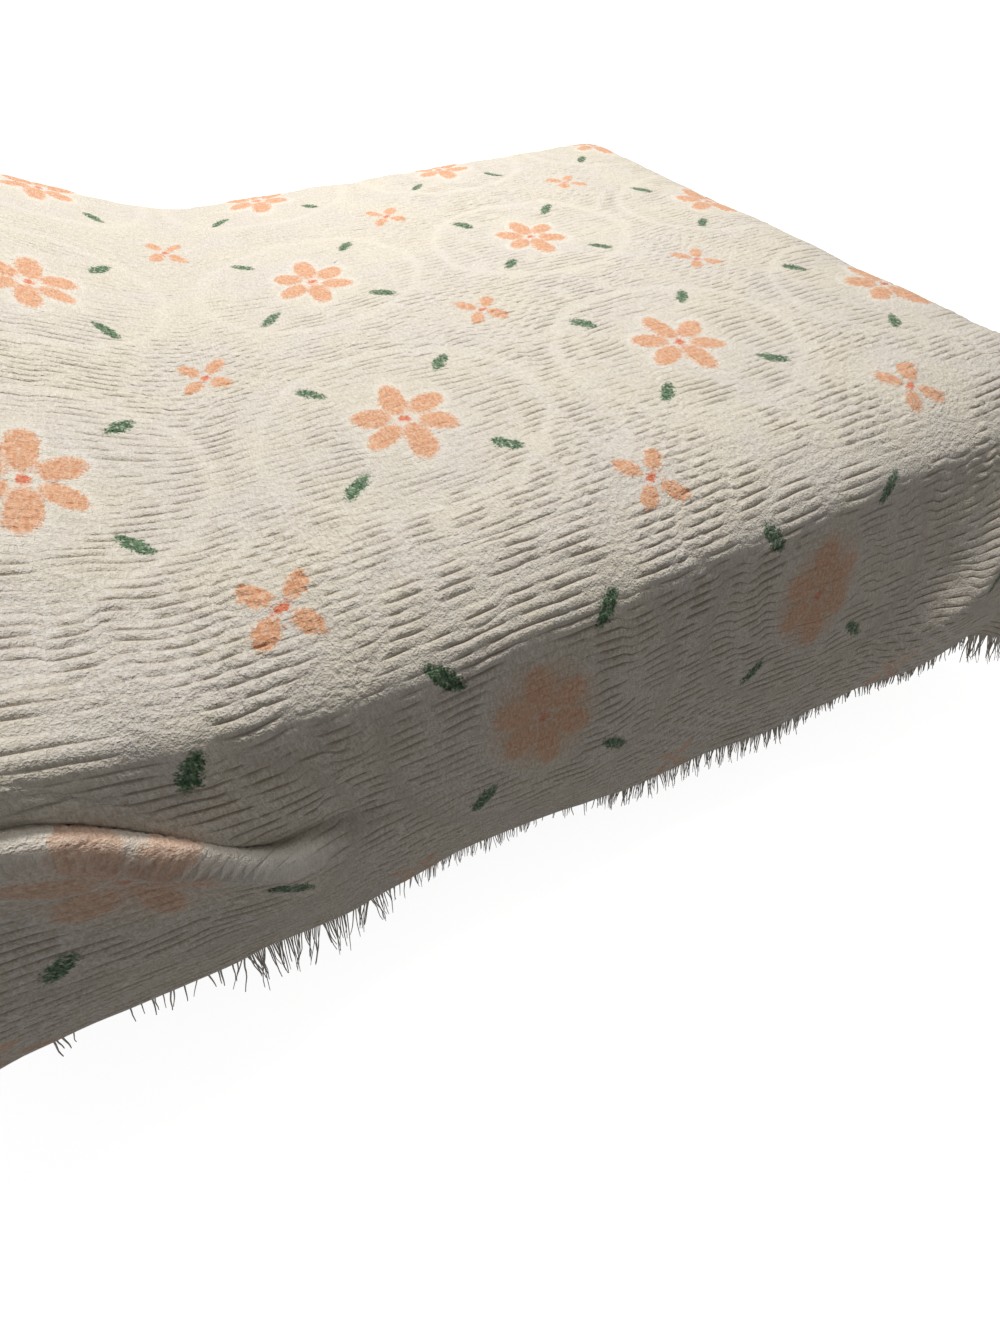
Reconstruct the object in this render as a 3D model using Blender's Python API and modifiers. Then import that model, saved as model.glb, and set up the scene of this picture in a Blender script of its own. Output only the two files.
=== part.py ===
"""Chenille bedspread with a fringed hem, spread over two pillows and a mattress on a platform bed.

Metres, +Z up, +X to the foot of the bed, +Y to the far side. The origin is the middle of the
plinth's underside, on the floor. The cloth starts as a flat cut: along is the distance from the
middle of the bed towards the foot, across the distance towards the far side, both measured on
the flat cloth. One draping function carries every point of that cut to its place on the bed.
"""
import math
import random

import bmesh
import bpy
from mathutils import Vector

# bed
FLAT_HALF = 0.585         # from the bed's middle to where the top begins to roll over a long side
FLAT_FOOT = 0.86          # from the bed's middle to where the top begins to roll over the foot
CLOTH_TOP = 0.58          # height of the middle of the cloth on the flat of the bed
CLOTH_THICK = 0.0045      # ground cloth and pile together
HEAD_ROLL = 0.0965        # radius that the middle of the cloth takes over the head end
REST_GAP = 0.0003         # air between two hard or filled pieces that touch
LIE_GAP = 0.0007          # air between the cloth and the flat of the mattress
EDGE_GAP = 0.0060         # air between the cloth and the mattress edge
MATTRESS_TALL = 0.24
MATTRESS_UNDER_EDGE = 0.05  # radius of the mattress's lower edges
MATTRESS_SIDE = 0.092     # how far its sides stand out from the flat of the bed
MATTRESS_DISH = 0.062     # how far in from the flat's edges its top begins to sink
MATTRESS_LINES = (0.0, 0.032, 0.064, 0.08, 0.096, 0.108, 0.12)   # cloth down its edge at each of its levels
MATTRESS_SHOULDER = 0.03  # from the last of those levels down to its upright side
MATTRESS_CELLS = 5
MATTRESS_CORNER = 0.012   # least radius of a level's corner
BASE_INSET = 0.02         # the platform stands back from the mattress
PLINTH_INSET = 0.14       # the plinth stands back from the platform
PLINTH_TALL = 0.06
PLATFORM_BEVELS = (0.012, 0.006, 0.004)   # of its upright, top and bottom edges
PLINTH_BEVELS = (0.004, 0.002, 0.002)

# the mattress's worn edge that the cloth rolls over:
# cloth from the start of the roll, and degrees below horizontal
EDGE_SLANTS = (
    (0.0, 12),
    (0.02, 18),
    (0.04, 22.5),
    (0.06, 28),
    (0.08, 33),
    (0.09, 43),
    (0.10, 54),
    (0.11, 63),
    (0.125, 76),
    (0.16, 95),
)
EDGE_SAG = 0.06           # how far in from its edges the top begins to sag
FAR_SAG = 0.3             # shares of the near edge's sag
FOOT_SAG = 0.6
EDGE_DRAW = 0.25          # share by which the near edge's roll is shorter under the pillow
EDGE_LIFT = 11            # degrees by which it is flatter there
EDGE_DRAW_START = -0.05   # along, where the pillow begins to tell
EDGE_DRAW_RUN = 0.36
LIFT_FROM = 0.08          # cloth down the drop, where the lift ends
LIFT_RUN = 0.02

# pillows, both under the cloth
PILLOW_LONG = 0.60
PILLOW_WIDE = 0.42
PILLOW_TALL = 0.134
PILLOW_SEAM = 0.28        # height of its seam, as a share of the pillow's
PILLOW_MIDDLE = -0.673    # along
PILLOW_SIDE = 0.310       # across, to either side
PILLOW_CELLS = (10, 12)
CROWN_WIDE = 2.4          # powers of the crown: over its width, over its length, and of the whole
CROWN_LONG = 3.0
CROWN_FULL = 0.65
CORNER_PINCH = 0.05       # share by which its corners draw in

# the cloth's rise over the pillows
RISE = 0.15
RISE_START_FAR = -0.13    # along, where the rise begins at the far edge of the top
RISE_START_NEAR = -0.26
RISE_RUN_FAR = 0.473      # how far it takes to reach full height
RISE_RUN_NEAR = 0.41
RISE_SHOULDER = 0.18      # share by which it is lower towards the long sides
RISE_EDGE = 0.35          # across, where it begins to lower towards them
RISE_BACK = -0.83         # along, where it begins to fall towards the head
RISE_BACK_RUN = 0.12
RISE_CORNER = 0.45        # share of the rise kept at the head end's corners

# the flat cut
CUT_HEAD = -0.95          # along, the plain hem at the head end
DROP = 0.48               # cloth from the start of the roll to the fringed hem
# the grid's bands along the bed, closer where the ledge fold is: from, to, cells
ALONG_BANDS = (
    (CUT_HEAD, -0.74, 3),
    (-0.74, -0.18, 15),
    (-0.18, FLAT_FOOT - EDGE_SAG, 10),
    (FLAT_FOOT - EDGE_SAG, FLAT_FOOT, 1),
)
GRID_TOP = 10             # cells across the top, the outer two over its sagging edges
# the grid's lines down a drop, closer on the near side round the ledge fold
NEAR_LINES = (
    0.0, 0.025, 0.05, 0.07, 0.083, 0.095, 0.106, 0.118, 0.131,
    0.144, 0.157, 0.172, 0.20, 0.26, 0.33, 0.40, DROP,
)
LINES_STAY = 0.07         # lines above this stay on the mattress's edge; those below follow the fold
LINES_FOLLOW = 0.106
PLAIN_LINES = (0.0, 0.03, 0.06, 0.082, 0.10, 0.12, 0.17, 0.24, 0.32, 0.40, DROP)
HANG_FROM = 0.28          # cloth down the drop, where its lower part begins to turn upright
HANG_FULL = 0.44

# slants of the drop below horizontal, in degrees: along, upper part, hem
NEAR_SLANTS = (
    (-0.95, 72, 89),
    (-0.50, 60, 86),
    (-0.15, 71, 93),
    (0.40, 66, 71.5),
    (0.86, 52, 88),
)
FAR_SLANTS = (
    (-0.95, 72, 88),
    (-0.20, 75, 86),
    (0.45, 70, 84),
    (0.86, 72, 84),
)
# the foot's own stations run across the bed
FOOT_SLANTS = (
    (-0.585, 64, 80),
    (0.0, 73, 86),
    (0.585, 72, 84),
)

WAVE_FROM = 0.12          # cloth down the drop, where the waves begin
# soft upright waves of the drop: side, place, width, depth at the hem
WAVES = (
    ("near", -0.78, 0.10, 0.012),
    ("near", 0.03, 0.13, 0.0015),
    ("near", 0.29, 0.10, -0.011),
    ("near", 0.55, 0.09, -0.003),
    ("near", 0.72, 0.07, 0.008),
    ("far", -0.62, 0.12, 0.016),
    ("far", -0.28, 0.10, -0.012),
    ("far", 0.16, 0.13, 0.018),
    ("far", 0.60, 0.11, -0.010),
    ("foot", -0.30, 0.11, 0.014),
    ("foot", 0.02, 0.12, -0.010),
    ("foot", 0.33, 0.10, 0.016),
)

# the ledge fold of the near drop, where spare cloth rests in a swag under the pillow
LEDGE_DEPTH = 0.140      # cloth down the drop to its middle, towards the head
LEDGE_FALL = 0.116         # how much lower it lies where it runs out
LEDGE_TURN = -0.453        # along, where it begins to fall
LEDGE_TURN_RUN = 0.146
LEDGE_END = -0.167         # along, where it has gone
LEDGE_END_RUN = 0.126
LEDGE_HEAD = -0.74        # along, where it has faded towards the head
LEDGE_HEAD_RUN = 0.14
LEDGE_HALF = 0.0185       # half its width on the cloth
LEDGE_SLANT = 36          # degrees below horizontal on top of the ledge
HOLLOW_SLANT = 101        # above it
HANG_SLANT = 83           # under it
# its parts, in half widths from its middle: where each sets in, and how far that takes
HOLLOW_IN = (-3.2, 1.6)
SHELF_IN = (-1.5, 0.9)
HANG_IN = (0.5, 0.9)
HANG_OUT = (2.5, 3.0)
HANG_FADES = 0.6          # share of the hanging part that fades again

SIDES = {"near": NEAR_SLANTS, "far": FAR_SLANTS, "foot": FOOT_SLANTS}

# flutes round a foot corner
CORNER_FLUTES = 2
FLUTE_FROM = 0.10         # cloth down the drop, where they begin
FLUTE_OUT = 0.075
CORNER_IN = 0.10          # share by which the corner draws in between its flutes

# fringe
STRAND_PITCH = 0.0225
STRAND_ROOT = 0.0030
STRAND_LONG = 0.048
STRAND_UNEVEN = (0.78, 1.05)   # least and most of its length
STRAND_KNEE = 0.55        # share of its length down to where it starts to taper
STRAND_LAY = 0.009        # how far a tip strays sideways
KNEE_STRAY = 0.3          # share of that by its knee
STRAND_FOLLOWS = 0.35     # how far it carries on the cloth's own direction before it hangs
STRIP_TALL = 0.005
STRIP_THICK = 0.0030
STRIP_GAP = 0.0006
STRIP_END = 0.0012        # kept free at each end of a strip
FRINGE_SEED = 7

# plain colours and their roughness
WOOD = ((0.035, 0.022, 0.016), 0.55)
TICKING = ((0.62, 0.60, 0.56), 0.85)
COTTON = ((0.80, 0.79, 0.76), 0.85)
CHENILLE = ((0.76, 0.70, 0.58), 0.95)
FRINGE = ((0.70, 0.64, 0.53), 0.95)

COLLECTION = "chenille_bedspread_on_bed"
STEP = 0.004              # stride along the cloth when its fall is summed

MATTRESS_TOP = CLOTH_TOP - CLOTH_THICK / 2 - LIE_GAP
MATTRESS_HALF = FLAT_HALF + MATTRESS_SIDE
MATTRESS_LONG_HALF = FLAT_FOOT + MATTRESS_SIDE
MATTRESS_UNDER = MATTRESS_TOP - MATTRESS_TALL


def ease(value):
    """0 below 0, 1 above 1, and a smooth climb between."""
    t = min(max(value, 0.0), 1.0)
    return t * t * (3 - 2 * t)


def eased(value, step):
    """The same climb for a step given as where it sets in and how far it takes."""
    return ease((value - step[0]) / step[1])


def read(table, column, place):
    """A column of a slant table at a place, eased between its rows."""
    if place <= table[0][0]:
        return table[0][column]
    for low, high in zip(table, table[1:]):
        if place <= high[0]:
            share = ease((place - low[0]) / (high[0] - low[0]))
            return low[column] + (high[column] - low[column]) * share
    return table[-1][column]


def rise(along, across):
    """Height of the cloth over the flat of the bed, where it covers the pillows."""
    near = min(max((FLAT_HALF - across) / (2 * FLAT_HALF), 0.0), 1.0)
    start = RISE_START_FAR + (RISE_START_NEAR - RISE_START_FAR) * near
    run = RISE_RUN_FAR + (RISE_RUN_NEAR - RISE_RUN_FAR) * near
    front = ease((start - along) / run)
    edge = ease((abs(across) - RISE_EDGE) / (FLAT_HALF - RISE_EDGE))
    back = 1 - ease((RISE_BACK - along) / RISE_BACK_RUN) * (1 - RISE_CORNER * edge)
    shoulder = 1 - RISE_SHOULDER * edge
    return RISE * front * back * shoulder


def ledge(along):
    """How strong the ledge fold is here, and its depth down the drop."""
    strength = ease((LEDGE_END - along) / LEDGE_END_RUN) * ease((along - LEDGE_HEAD) / LEDGE_HEAD_RUN + 1)
    depth = LEDGE_DEPTH + LEDGE_FALL * ease((along - LEDGE_TURN) / LEDGE_TURN_RUN)
    return strength, depth


def edge_slant(down):
    """Degrees below horizontal of cloth that lies against the mattress's edge."""
    for low, high in zip(EDGE_SLANTS, EDGE_SLANTS[1:]):
        if down <= high[0]:
            return low[1] + (high[1] - low[1]) * (down - low[0]) / (high[0] - low[0])
    return EDGE_SLANTS[-1][1]


def sag(inward):
    """How much lower the top lies at a distance in from one of its edges."""
    over = max(0.0, EDGE_SAG - inward)
    return math.radians(EDGE_SLANTS[0][1]) * over * over / (2 * EDGE_SAG)


def near_lift(along):
    """How far the pillow lifts the cloth off the mattress's near edge, from 0 to 1."""
    return ease((EDGE_DRAW_START - along) / EDGE_DRAW_RUN)


def slant(side, place, down):
    """Angle of the cloth below horizontal, in radians, at a distance down the drop."""
    table = SIDES[side]
    upper = read(table, 1, place)
    hem = read(table, 2, place)
    angle = upper + (hem - upper) * ease((down - HANG_FROM) / (HANG_FULL - HANG_FROM))
    if side == "near":
        strength, depth = ledge(place)
        off = (down - depth) / LEDGE_HALF
        hollow = eased(off, HOLLOW_IN) * (1 - eased(off, SHELF_IN))
        shelf = eased(off, SHELF_IN) * (1 - eased(off, HANG_IN))
        hang = eased(off, HANG_IN) * (1 - HANG_FADES * eased(off, HANG_OUT))
        angle += strength * hollow * (HOLLOW_SLANT - angle)
        angle += strength * shelf * (LEDGE_SLANT - angle)
        angle += strength * hang * (HANG_SLANT - angle)
    lift = near_lift(place) if side == "near" else 0.0
    down = down / (1 - EDGE_DRAW * lift)
    edge = edge_slant(down) - EDGE_LIFT * lift * (1 - ease((down - LIFT_FROM) / LIFT_RUN))
    return math.radians(min(edge, angle))


def fall(side, place, down):
    """How far the cloth has gone out and down from the start of the roll."""
    strides = max(1, round(down / STEP))
    stride = down / strides
    out = low = 0.0
    for index in range(strides):
        angle = slant(side, place, (index + 0.5) * stride)
        out += math.cos(angle) * stride
        low += math.sin(angle) * stride
    grown = ease((down - WAVE_FROM) / (DROP - WAVE_FROM))
    for owner, middle, width, depth in WAVES:
        if owner == side:
            out += depth * math.exp(-((place - middle) / width) ** 2) * grown
    return out, low


def corner_fall(turn, down, far):
    """The same round a foot corner; turn runs from 0 at the foot to 1 at the long side."""
    side = "far" if far else "near"
    side_out, side_low = fall(side, FLAT_FOOT, down)
    foot_out, foot_low = fall("foot", FLAT_HALF if far else -FLAT_HALF, down)
    share = ease(turn)
    grown = ease((down - FLUTE_FROM) / (DROP - FLUTE_FROM))
    flute = (1 - math.cos(2 * math.pi * CORNER_FLUTES * turn)) / 2
    middle = math.sin(math.pi * turn) ** 2
    out = foot_out + (side_out - foot_out) * share
    out += grown * (FLUTE_OUT * flute - CORNER_IN * middle * out)
    return out, foot_low + (side_low - foot_low) * share


def drape(along, across):
    """The place on the bed of a point of the flat cut."""
    past_foot = max(0.0, along - FLAT_FOOT)
    past_side = max(0.0, abs(across) - FLAT_HALF)
    far = across > 0
    outward = 1 if far else -1
    past_head = max(0.0, -FLAT_FOOT - along)
    on_along = min(along, FLAT_FOOT) + past_head - HEAD_ROLL * math.sin(past_head / HEAD_ROLL)
    on_across = min(max(across, -FLAT_HALF), FLAT_HALF)
    top = CLOTH_TOP + rise(on_along, on_across) - HEAD_ROLL * (1 - math.cos(past_head / HEAD_ROLL))
    lifted = 1 - EDGE_LIFT / EDGE_SLANTS[0][1] * near_lift(on_along)
    top -= lifted * sag(FLAT_HALF + on_across) + FAR_SAG * sag(FLAT_HALF - on_across)
    top -= FOOT_SAG * sag(FLAT_FOOT - on_along)
    if past_foot and past_side:
        a = past_foot / DROP
        b = past_side / DROP
        reach = math.sqrt(a * a + b * b - a * a * b * b)
        turn = math.atan2(b * math.sqrt(1 - a * a / 2), a * math.sqrt(1 - b * b / 2)) / (math.pi / 2)
        out, low = corner_fall(turn, reach * DROP, far)
        angle = turn * math.pi / 2
        aside = outward * out * math.sin(angle)
        return Vector((on_along + out * math.cos(angle), on_across + aside, top - low))
    if past_foot:
        out, low = fall("foot", on_across, past_foot)
        return Vector((on_along + out, on_across, top - low))
    if past_side:
        out, low = fall("far" if far else "near", on_along, past_side)
        return Vector((on_along, on_across + outward * out, top - low))
    return Vector((on_along, on_across, top))


def cut_lines():
    """The along places and across places of the cut's grid lines, from head to foot and near to far."""
    along = []
    for start, stop, cells in ALONG_BANDS:
        along += [start + (stop - start) * index / cells for index in range(cells)]
    along += [FLAT_FOOT + line for line in PLAIN_LINES]
    inner = FLAT_HALF - EDGE_SAG
    width = 2 * inner / (GRID_TOP - 2)
    across = [-FLAT_HALF - line for line in reversed(NEAR_LINES)]
    across += [-inner + width * index for index in range(GRID_TOP - 1)]
    across += [FLAT_HALF + line for line in PLAIN_LINES]
    return along, across


def followed(along, across):
    """Shifts a near drop's grid line down with the ledge fold, so that the lines run along its crest."""
    down = -FLAT_HALF - across
    if down <= 0:
        return across
    strength, depth = ledge(along)
    above = min(max((down - LINES_STAY) / (LINES_FOLLOW - LINES_STAY), 0.0), 1.0)
    below = min(1.0, (DROP - down) / (DROP - LEDGE_DEPTH - 2 * LEDGE_HALF))
    return across - (depth - LEDGE_DEPTH) * strength * above * below


def material(name, finish):
    """A plain material from a colour and its roughness."""
    colour, roughness = finish
    made = bpy.data.materials.new(name)
    made.use_nodes = True
    shader = made.node_tree.nodes["Principled BSDF"]
    shader.inputs["Base Color"].default_value = (*colour, 1.0)
    shader.inputs["Roughness"].default_value = roughness
    shader.inputs["Metallic"].default_value = 0.0
    return made


def add(name, mesh, finish, smooth=True):
    """Puts a mesh in the part's collection as one object."""
    made = bpy.data.objects.new(name, mesh)
    bpy.data.collections[COLLECTION].objects.link(made)
    mesh.materials.append(finish)
    if smooth:
        mesh.shade_smooth()
    return made


def block(name, low, high, finish, bevels, segments):
    """A box with each of its edges rounded; bevels gives the radius of the upright, top and bottom edges."""
    mesh = bpy.data.meshes.new(name)
    shape = bmesh.new()
    bmesh.ops.create_cube(shape, size=1.0)
    for corner in shape.verts:
        for axis in range(3):
            corner.co[axis] = high[axis] if corner.co[axis] > 0 else low[axis]
    weights = shape.edges.layers.float.new("bevel_weight_edge")
    most = max(bevels)
    for edge in shape.edges:
        first, second = edge.verts
        if abs(first.co.z - second.co.z) > 1e-6:
            edge[weights] = bevels[0] / most
        elif first.co.z > (low[2] + high[2]) / 2:
            edge[weights] = bevels[1] / most
        else:
            edge[weights] = bevels[2] / most
    shape.to_mesh(mesh)
    shape.free()
    made = add(name, mesh, finish)
    rounded = made.modifiers.new("rounded", "BEVEL")
    rounded.limit_method = "WEIGHT"
    rounded.width = most
    rounded.segments = segments
    return made


def bed(wood, ticking):
    """Plinth, platform and mattress, stacked with a hair of air between them."""
    base_top = MATTRESS_UNDER - REST_GAP
    half_long = MATTRESS_LONG_HALF - BASE_INSET
    half_wide = MATTRESS_HALF - BASE_INSET
    block("plinth", (-half_long + PLINTH_INSET, -half_wide + PLINTH_INSET, 0.0),
          (half_long - PLINTH_INSET, half_wide - PLINTH_INSET, PLINTH_TALL), wood, PLINTH_BEVELS, 1)
    block("platform", (-half_long, -half_wide, PLINTH_TALL + REST_GAP),
          (half_long, half_wide, base_top), wood, PLATFORM_BEVELS, 2)
    mattress(ticking)


def edge_levels():
    """The mattress's edge from its top down: distance out from the flat of the bed, and height."""
    levels = [(-MATTRESS_DISH, MATTRESS_TOP)]
    away = CLOTH_THICK / 2 + EDGE_GAP
    out, low = 0.0, sag(0.0)
    down = 0.0
    levels.append((-EDGE_SAG / 2, CLOTH_TOP - 2 * sag(EDGE_SAG / 2) - CLOTH_THICK / 2 - 2 * LIE_GAP))
    for stop in MATTRESS_LINES:
        while down < stop - STEP / 2:
            angle = math.radians(edge_slant(down + STEP / 2))
            out += math.cos(angle) * STEP
            low += math.sin(angle) * STEP
            down += STEP
        angle = math.radians(edge_slant(down))
        levels.append((out - away * math.sin(angle), CLOTH_TOP - low - away * math.cos(angle)))
    levels.append((MATTRESS_SIDE, levels[-1][1] - MATTRESS_SHOULDER))
    for step in range(MATTRESS_CELLS + 1):
        turn = math.pi / 2 * step / MATTRESS_CELLS
        levels.append((MATTRESS_SIDE - MATTRESS_UNDER_EDGE * (1 - math.cos(turn)),
                       MATTRESS_UNDER + MATTRESS_UNDER_EDGE * (1 - math.sin(turn))))
    return levels


def mattress(finish):
    """A filled block whose soft edge follows the cloth's roll, built up in rounded levels."""
    mesh = bpy.data.meshes.new("mattress")
    shape = bmesh.new()
    rings = []
    for out, height in edge_levels():
        radius = max(out, MATTRESS_CORNER)
        ring = []
        for quarter in range(4):
            first = quarter * math.pi / 2
            x = math.copysign(FLAT_FOOT + out - radius, math.cos(first + math.pi / 4))
            y = math.copysign(FLAT_HALF + out - radius, math.sin(first + math.pi / 4))
            for step in range(MATTRESS_CELLS + 1):
                angle = first + math.pi / 2 * step / MATTRESS_CELLS
                place = (x + radius * math.cos(angle), y + radius * math.sin(angle), height)
                ring.append(shape.verts.new(place))
        rings.append(ring)
    for upper, lower in zip(rings, rings[1:]):
        for index in range(len(upper)):
            after = (index + 1) % len(upper)
            shape.faces.new((upper[index], lower[index], lower[after], upper[after]))
    shape.faces.new(rings[0])
    shape.faces.new(reversed(rings[-1]))
    bmesh.ops.recalc_face_normals(shape, faces=shape.faces)
    shape.to_mesh(mesh)
    shape.free()
    return add("mattress", mesh, finish)


def pillow(name, side, finish):
    """A filled pillow: crowned, flat underneath, its sides drawn in to a seam."""
    mesh = bpy.data.meshes.new(name)
    shape = bmesh.new()
    bmesh.ops.create_grid(shape, x_segments=PILLOW_CELLS[0], y_segments=PILLOW_CELLS[1], size=1.0)
    floor = MATTRESS_TOP + REST_GAP
    seam = PILLOW_SEAM * PILLOW_TALL
    for point in shape.verts:
        x, y = point.co.x, point.co.y
        crown = max(0.0, (1 - abs(x) ** CROWN_WIDE) * (1 - abs(y) ** CROWN_LONG)) ** CROWN_FULL
        pinch = 1 - CORNER_PINCH * (x * y) ** 2
        point.co = (PILLOW_MIDDLE + x * PILLOW_WIDE / 2 * pinch,
                    side * PILLOW_SIDE + y * PILLOW_LONG / 2 * pinch,
                    floor + seam + (PILLOW_TALL - seam) * crown)
    under = bmesh.ops.duplicate(shape, geom=list(shape.verts) + list(shape.edges) + list(shape.faces))["geom"]
    for point in (item for item in under if isinstance(item, bmesh.types.BMVert)):
        crown = (point.co.z - floor - seam) / (PILLOW_TALL - seam)
        point.co.z = floor + seam * (1 - crown) ** 2
    bmesh.ops.reverse_faces(shape, faces=[item for item in under if isinstance(item, bmesh.types.BMFace)])
    bmesh.ops.remove_doubles(shape, verts=shape.verts, dist=0.0001)
    shape.to_mesh(mesh)
    shape.free()
    return add(name, mesh, finish)


def draped_cut():
    """The flat cut as a grid, every point carried to its place; its corners are kept by column and row."""
    along, across = cut_lines()
    shape = bmesh.new()
    bmesh.ops.create_grid(shape, x_segments=len(along) - 1, y_segments=len(across) - 1, size=0.5)
    corners = {}
    for point in shape.verts:
        column = round((point.co.x + 0.5) * (len(along) - 1))
        row = round((point.co.y + 0.5) * (len(across) - 1))
        point.co = drape(along[column], followed(along[column], across[row]))
        corners[column, row] = point
    shape.normal_update()
    return shape, corners


def bedspread(finish):
    """The one piece of cloth, from a flat grid that is draped and then given its thickness."""
    mesh = bpy.data.meshes.new("bedspread")
    shape, _ = draped_cut()
    shape.to_mesh(mesh)
    shape.free()
    made = add("bedspread", mesh, finish)
    body = made.modifiers.new("thickness", "SOLIDIFY")
    body.thickness = CLOTH_THICK
    body.offset = 0.0
    body.use_even_offset = True
    return made


def hem_line():
    """The fringed hem, from the head end round the foot: place, direction away from the cloth, and facing."""
    shape, corners = draped_cut()
    last_column = max(column for column, _ in corners)
    last_row = max(row for _, row in corners)
    ring = [(column, 0) for column in range(last_column + 1)]
    ring += [(last_column, row) for row in range(1, last_row)]
    ring += [(column, last_row) for column in range(last_column, -1, -1)]
    places = [corners[key].co.copy() for key in ring]
    facings = [corners[key].normal.copy() for key in ring]
    shape.free()
    line = []
    for index, (place, facing) in enumerate(zip(places, facings)):
        run = places[min(index + 1, len(places) - 1)] - places[max(index - 1, 0)]
        line.append((place, run.cross(facing).normalized(), facing))
    return line


def strip_stations(line):
    """Stations along a hem: the hem's own corners, and two for each strand's root."""
    lengths = [0.0]
    for first, second in zip(line, line[1:]):
        lengths.append(lengths[-1] + (second[0] - first[0]).length)
    total = lengths[-1]
    count = max(1, round((total - 2 * STRIP_END) / STRAND_PITCH))
    pitch = (total - 2 * STRIP_END) / count
    roots = [STRIP_END + pitch * (index + 0.5) for index in range(count)]
    places = {STRIP_END: False, total - STRIP_END: False}
    for root in roots:
        places[root - STRAND_ROOT / 2] = True
        places[root + STRAND_ROOT / 2] = False
    for length in lengths[1:-1]:
        if all(abs(length - root) > STRAND_ROOT for root in roots):
            places[length] = False
    stations = []
    for place in sorted(places):
        index = max(k for k in range(len(lengths) - 1) if lengths[k] <= place)
        share = (place - lengths[index]) / (lengths[index + 1] - lengths[index])
        edge, down, face = (low.lerp(high, share) for low, high in zip(line[index], line[index + 1]))
        stations.append((edge, down.normalized(), face.normalized(), places[place]))
    return stations


def fringe(name, line, finish, luck):
    """A narrow strip under the hem with tapering strands drawn out of its lower face."""
    stations = strip_stations(line)
    shape = bmesh.new()
    rings = []
    for edge, down, face, _ in stations:
        upper = edge + down * STRIP_GAP
        lower = edge + down * (STRIP_GAP + STRIP_TALL)
        half = face * STRIP_THICK / 2
        corners = (upper - half, upper + half, lower + half, lower - half)
        rings.append([shape.verts.new(corner) for corner in corners])
    roots = []
    for index, (first, second) in enumerate(zip(rings, rings[1:])):
        for side in range(4):
            after = (side + 1) % 4
            made = shape.faces.new((first[side], second[side], second[after], first[after]))
            if side == 2 and stations[index][3]:
                roots.append((made, stations[index][1]))
    shape.faces.new(rings[0])
    shape.faces.new(reversed(rings[-1]))
    for root, down in roots:
        aim = (down * STRAND_FOLLOWS + Vector((0, 0, -1))).normalized()
        stray = Vector((luck.uniform(-1, 1), luck.uniform(-1, 1), 0)) * STRAND_LAY
        length = STRAND_LONG * luck.uniform(*STRAND_UNEVEN)
        grown = bmesh.ops.extrude_discrete_faces(shape, faces=[root])["faces"][0]
        bmesh.ops.translate(shape, verts=grown.verts, vec=aim * length * STRAND_KNEE + stray * KNEE_STRAY)
        tip = bmesh.ops.poke(shape, faces=[grown])["verts"][0]
        tip.co += aim * length * (1 - STRAND_KNEE) + stray * (1 - KNEE_STRAY)
    bmesh.ops.recalc_face_normals(shape, faces=shape.faces)
    mesh = bpy.data.meshes.new(name)
    shape.to_mesh(mesh)
    shape.free()
    return add(name, mesh, finish, smooth=False)


def fringes(finish):
    """Five fringe strips: the near side, the near corner, the foot, the far corner and the far side."""
    luck = random.Random(FRINGE_SEED)
    line = hem_line()
    near_cells = len(NEAR_LINES) - 1
    plain_cells = len(PLAIN_LINES) - 1
    stops = [0]
    side_cells = sum(cells for _, _, cells in ALONG_BANDS)
    for cells in (side_cells, plain_cells + near_cells, GRID_TOP, 2 * plain_cells, side_cells):
        stops.append(stops[-1] + cells)
    names = ("fringe_near", "fringe_near_corner", "fringe_foot", "fringe_far_corner", "fringe_far")
    for name, start, end in zip(names, stops, stops[1:]):
        fringe(name, line[start:end + 1], finish, luck)


def build():
    for old in list(bpy.data.objects):
        bpy.data.objects.remove(old, do_unlink=True)
    bpy.context.scene.collection.children.link(bpy.data.collections.new(COLLECTION))
    bed(material("dark_wood", WOOD), material("mattress_ticking", TICKING))
    slip = material("pillow_cotton", COTTON)
    pillow("pillow_near", -1, slip)
    pillow("pillow_far", 1, slip)
    bedspread(material("cream_chenille", CHENILLE))
    fringes(material("cream_fringe", FRINGE))


build()
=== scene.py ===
"""Looks of a chenille bedspread laid over a made-up double bed."""

import math

import bmesh
import bpy
import numpy as np
from mathutils import Matrix, Vector


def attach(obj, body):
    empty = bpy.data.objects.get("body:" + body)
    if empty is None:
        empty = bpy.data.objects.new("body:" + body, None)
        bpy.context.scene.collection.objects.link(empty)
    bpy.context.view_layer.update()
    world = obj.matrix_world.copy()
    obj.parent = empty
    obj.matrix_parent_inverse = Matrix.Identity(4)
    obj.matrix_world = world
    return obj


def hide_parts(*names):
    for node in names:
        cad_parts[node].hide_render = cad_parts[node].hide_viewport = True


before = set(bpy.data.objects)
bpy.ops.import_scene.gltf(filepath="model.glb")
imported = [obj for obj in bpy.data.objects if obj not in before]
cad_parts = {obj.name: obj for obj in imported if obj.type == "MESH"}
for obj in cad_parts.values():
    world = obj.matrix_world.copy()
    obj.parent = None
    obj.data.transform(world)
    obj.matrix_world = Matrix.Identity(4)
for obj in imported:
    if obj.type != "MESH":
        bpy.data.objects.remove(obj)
bpy.ops.object.select_all(action="DESELECT")
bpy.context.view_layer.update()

# ---- sizes
# Lengths are in metres, slants and turns in degrees. "Along" runs from the pillows to the foot
# and "across" from the near long side to the far one, on the flat cut, from the bed's middle.
# A ramp is a pair: where something sets in, and how far that takes. A run below 0 goes back.

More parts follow.
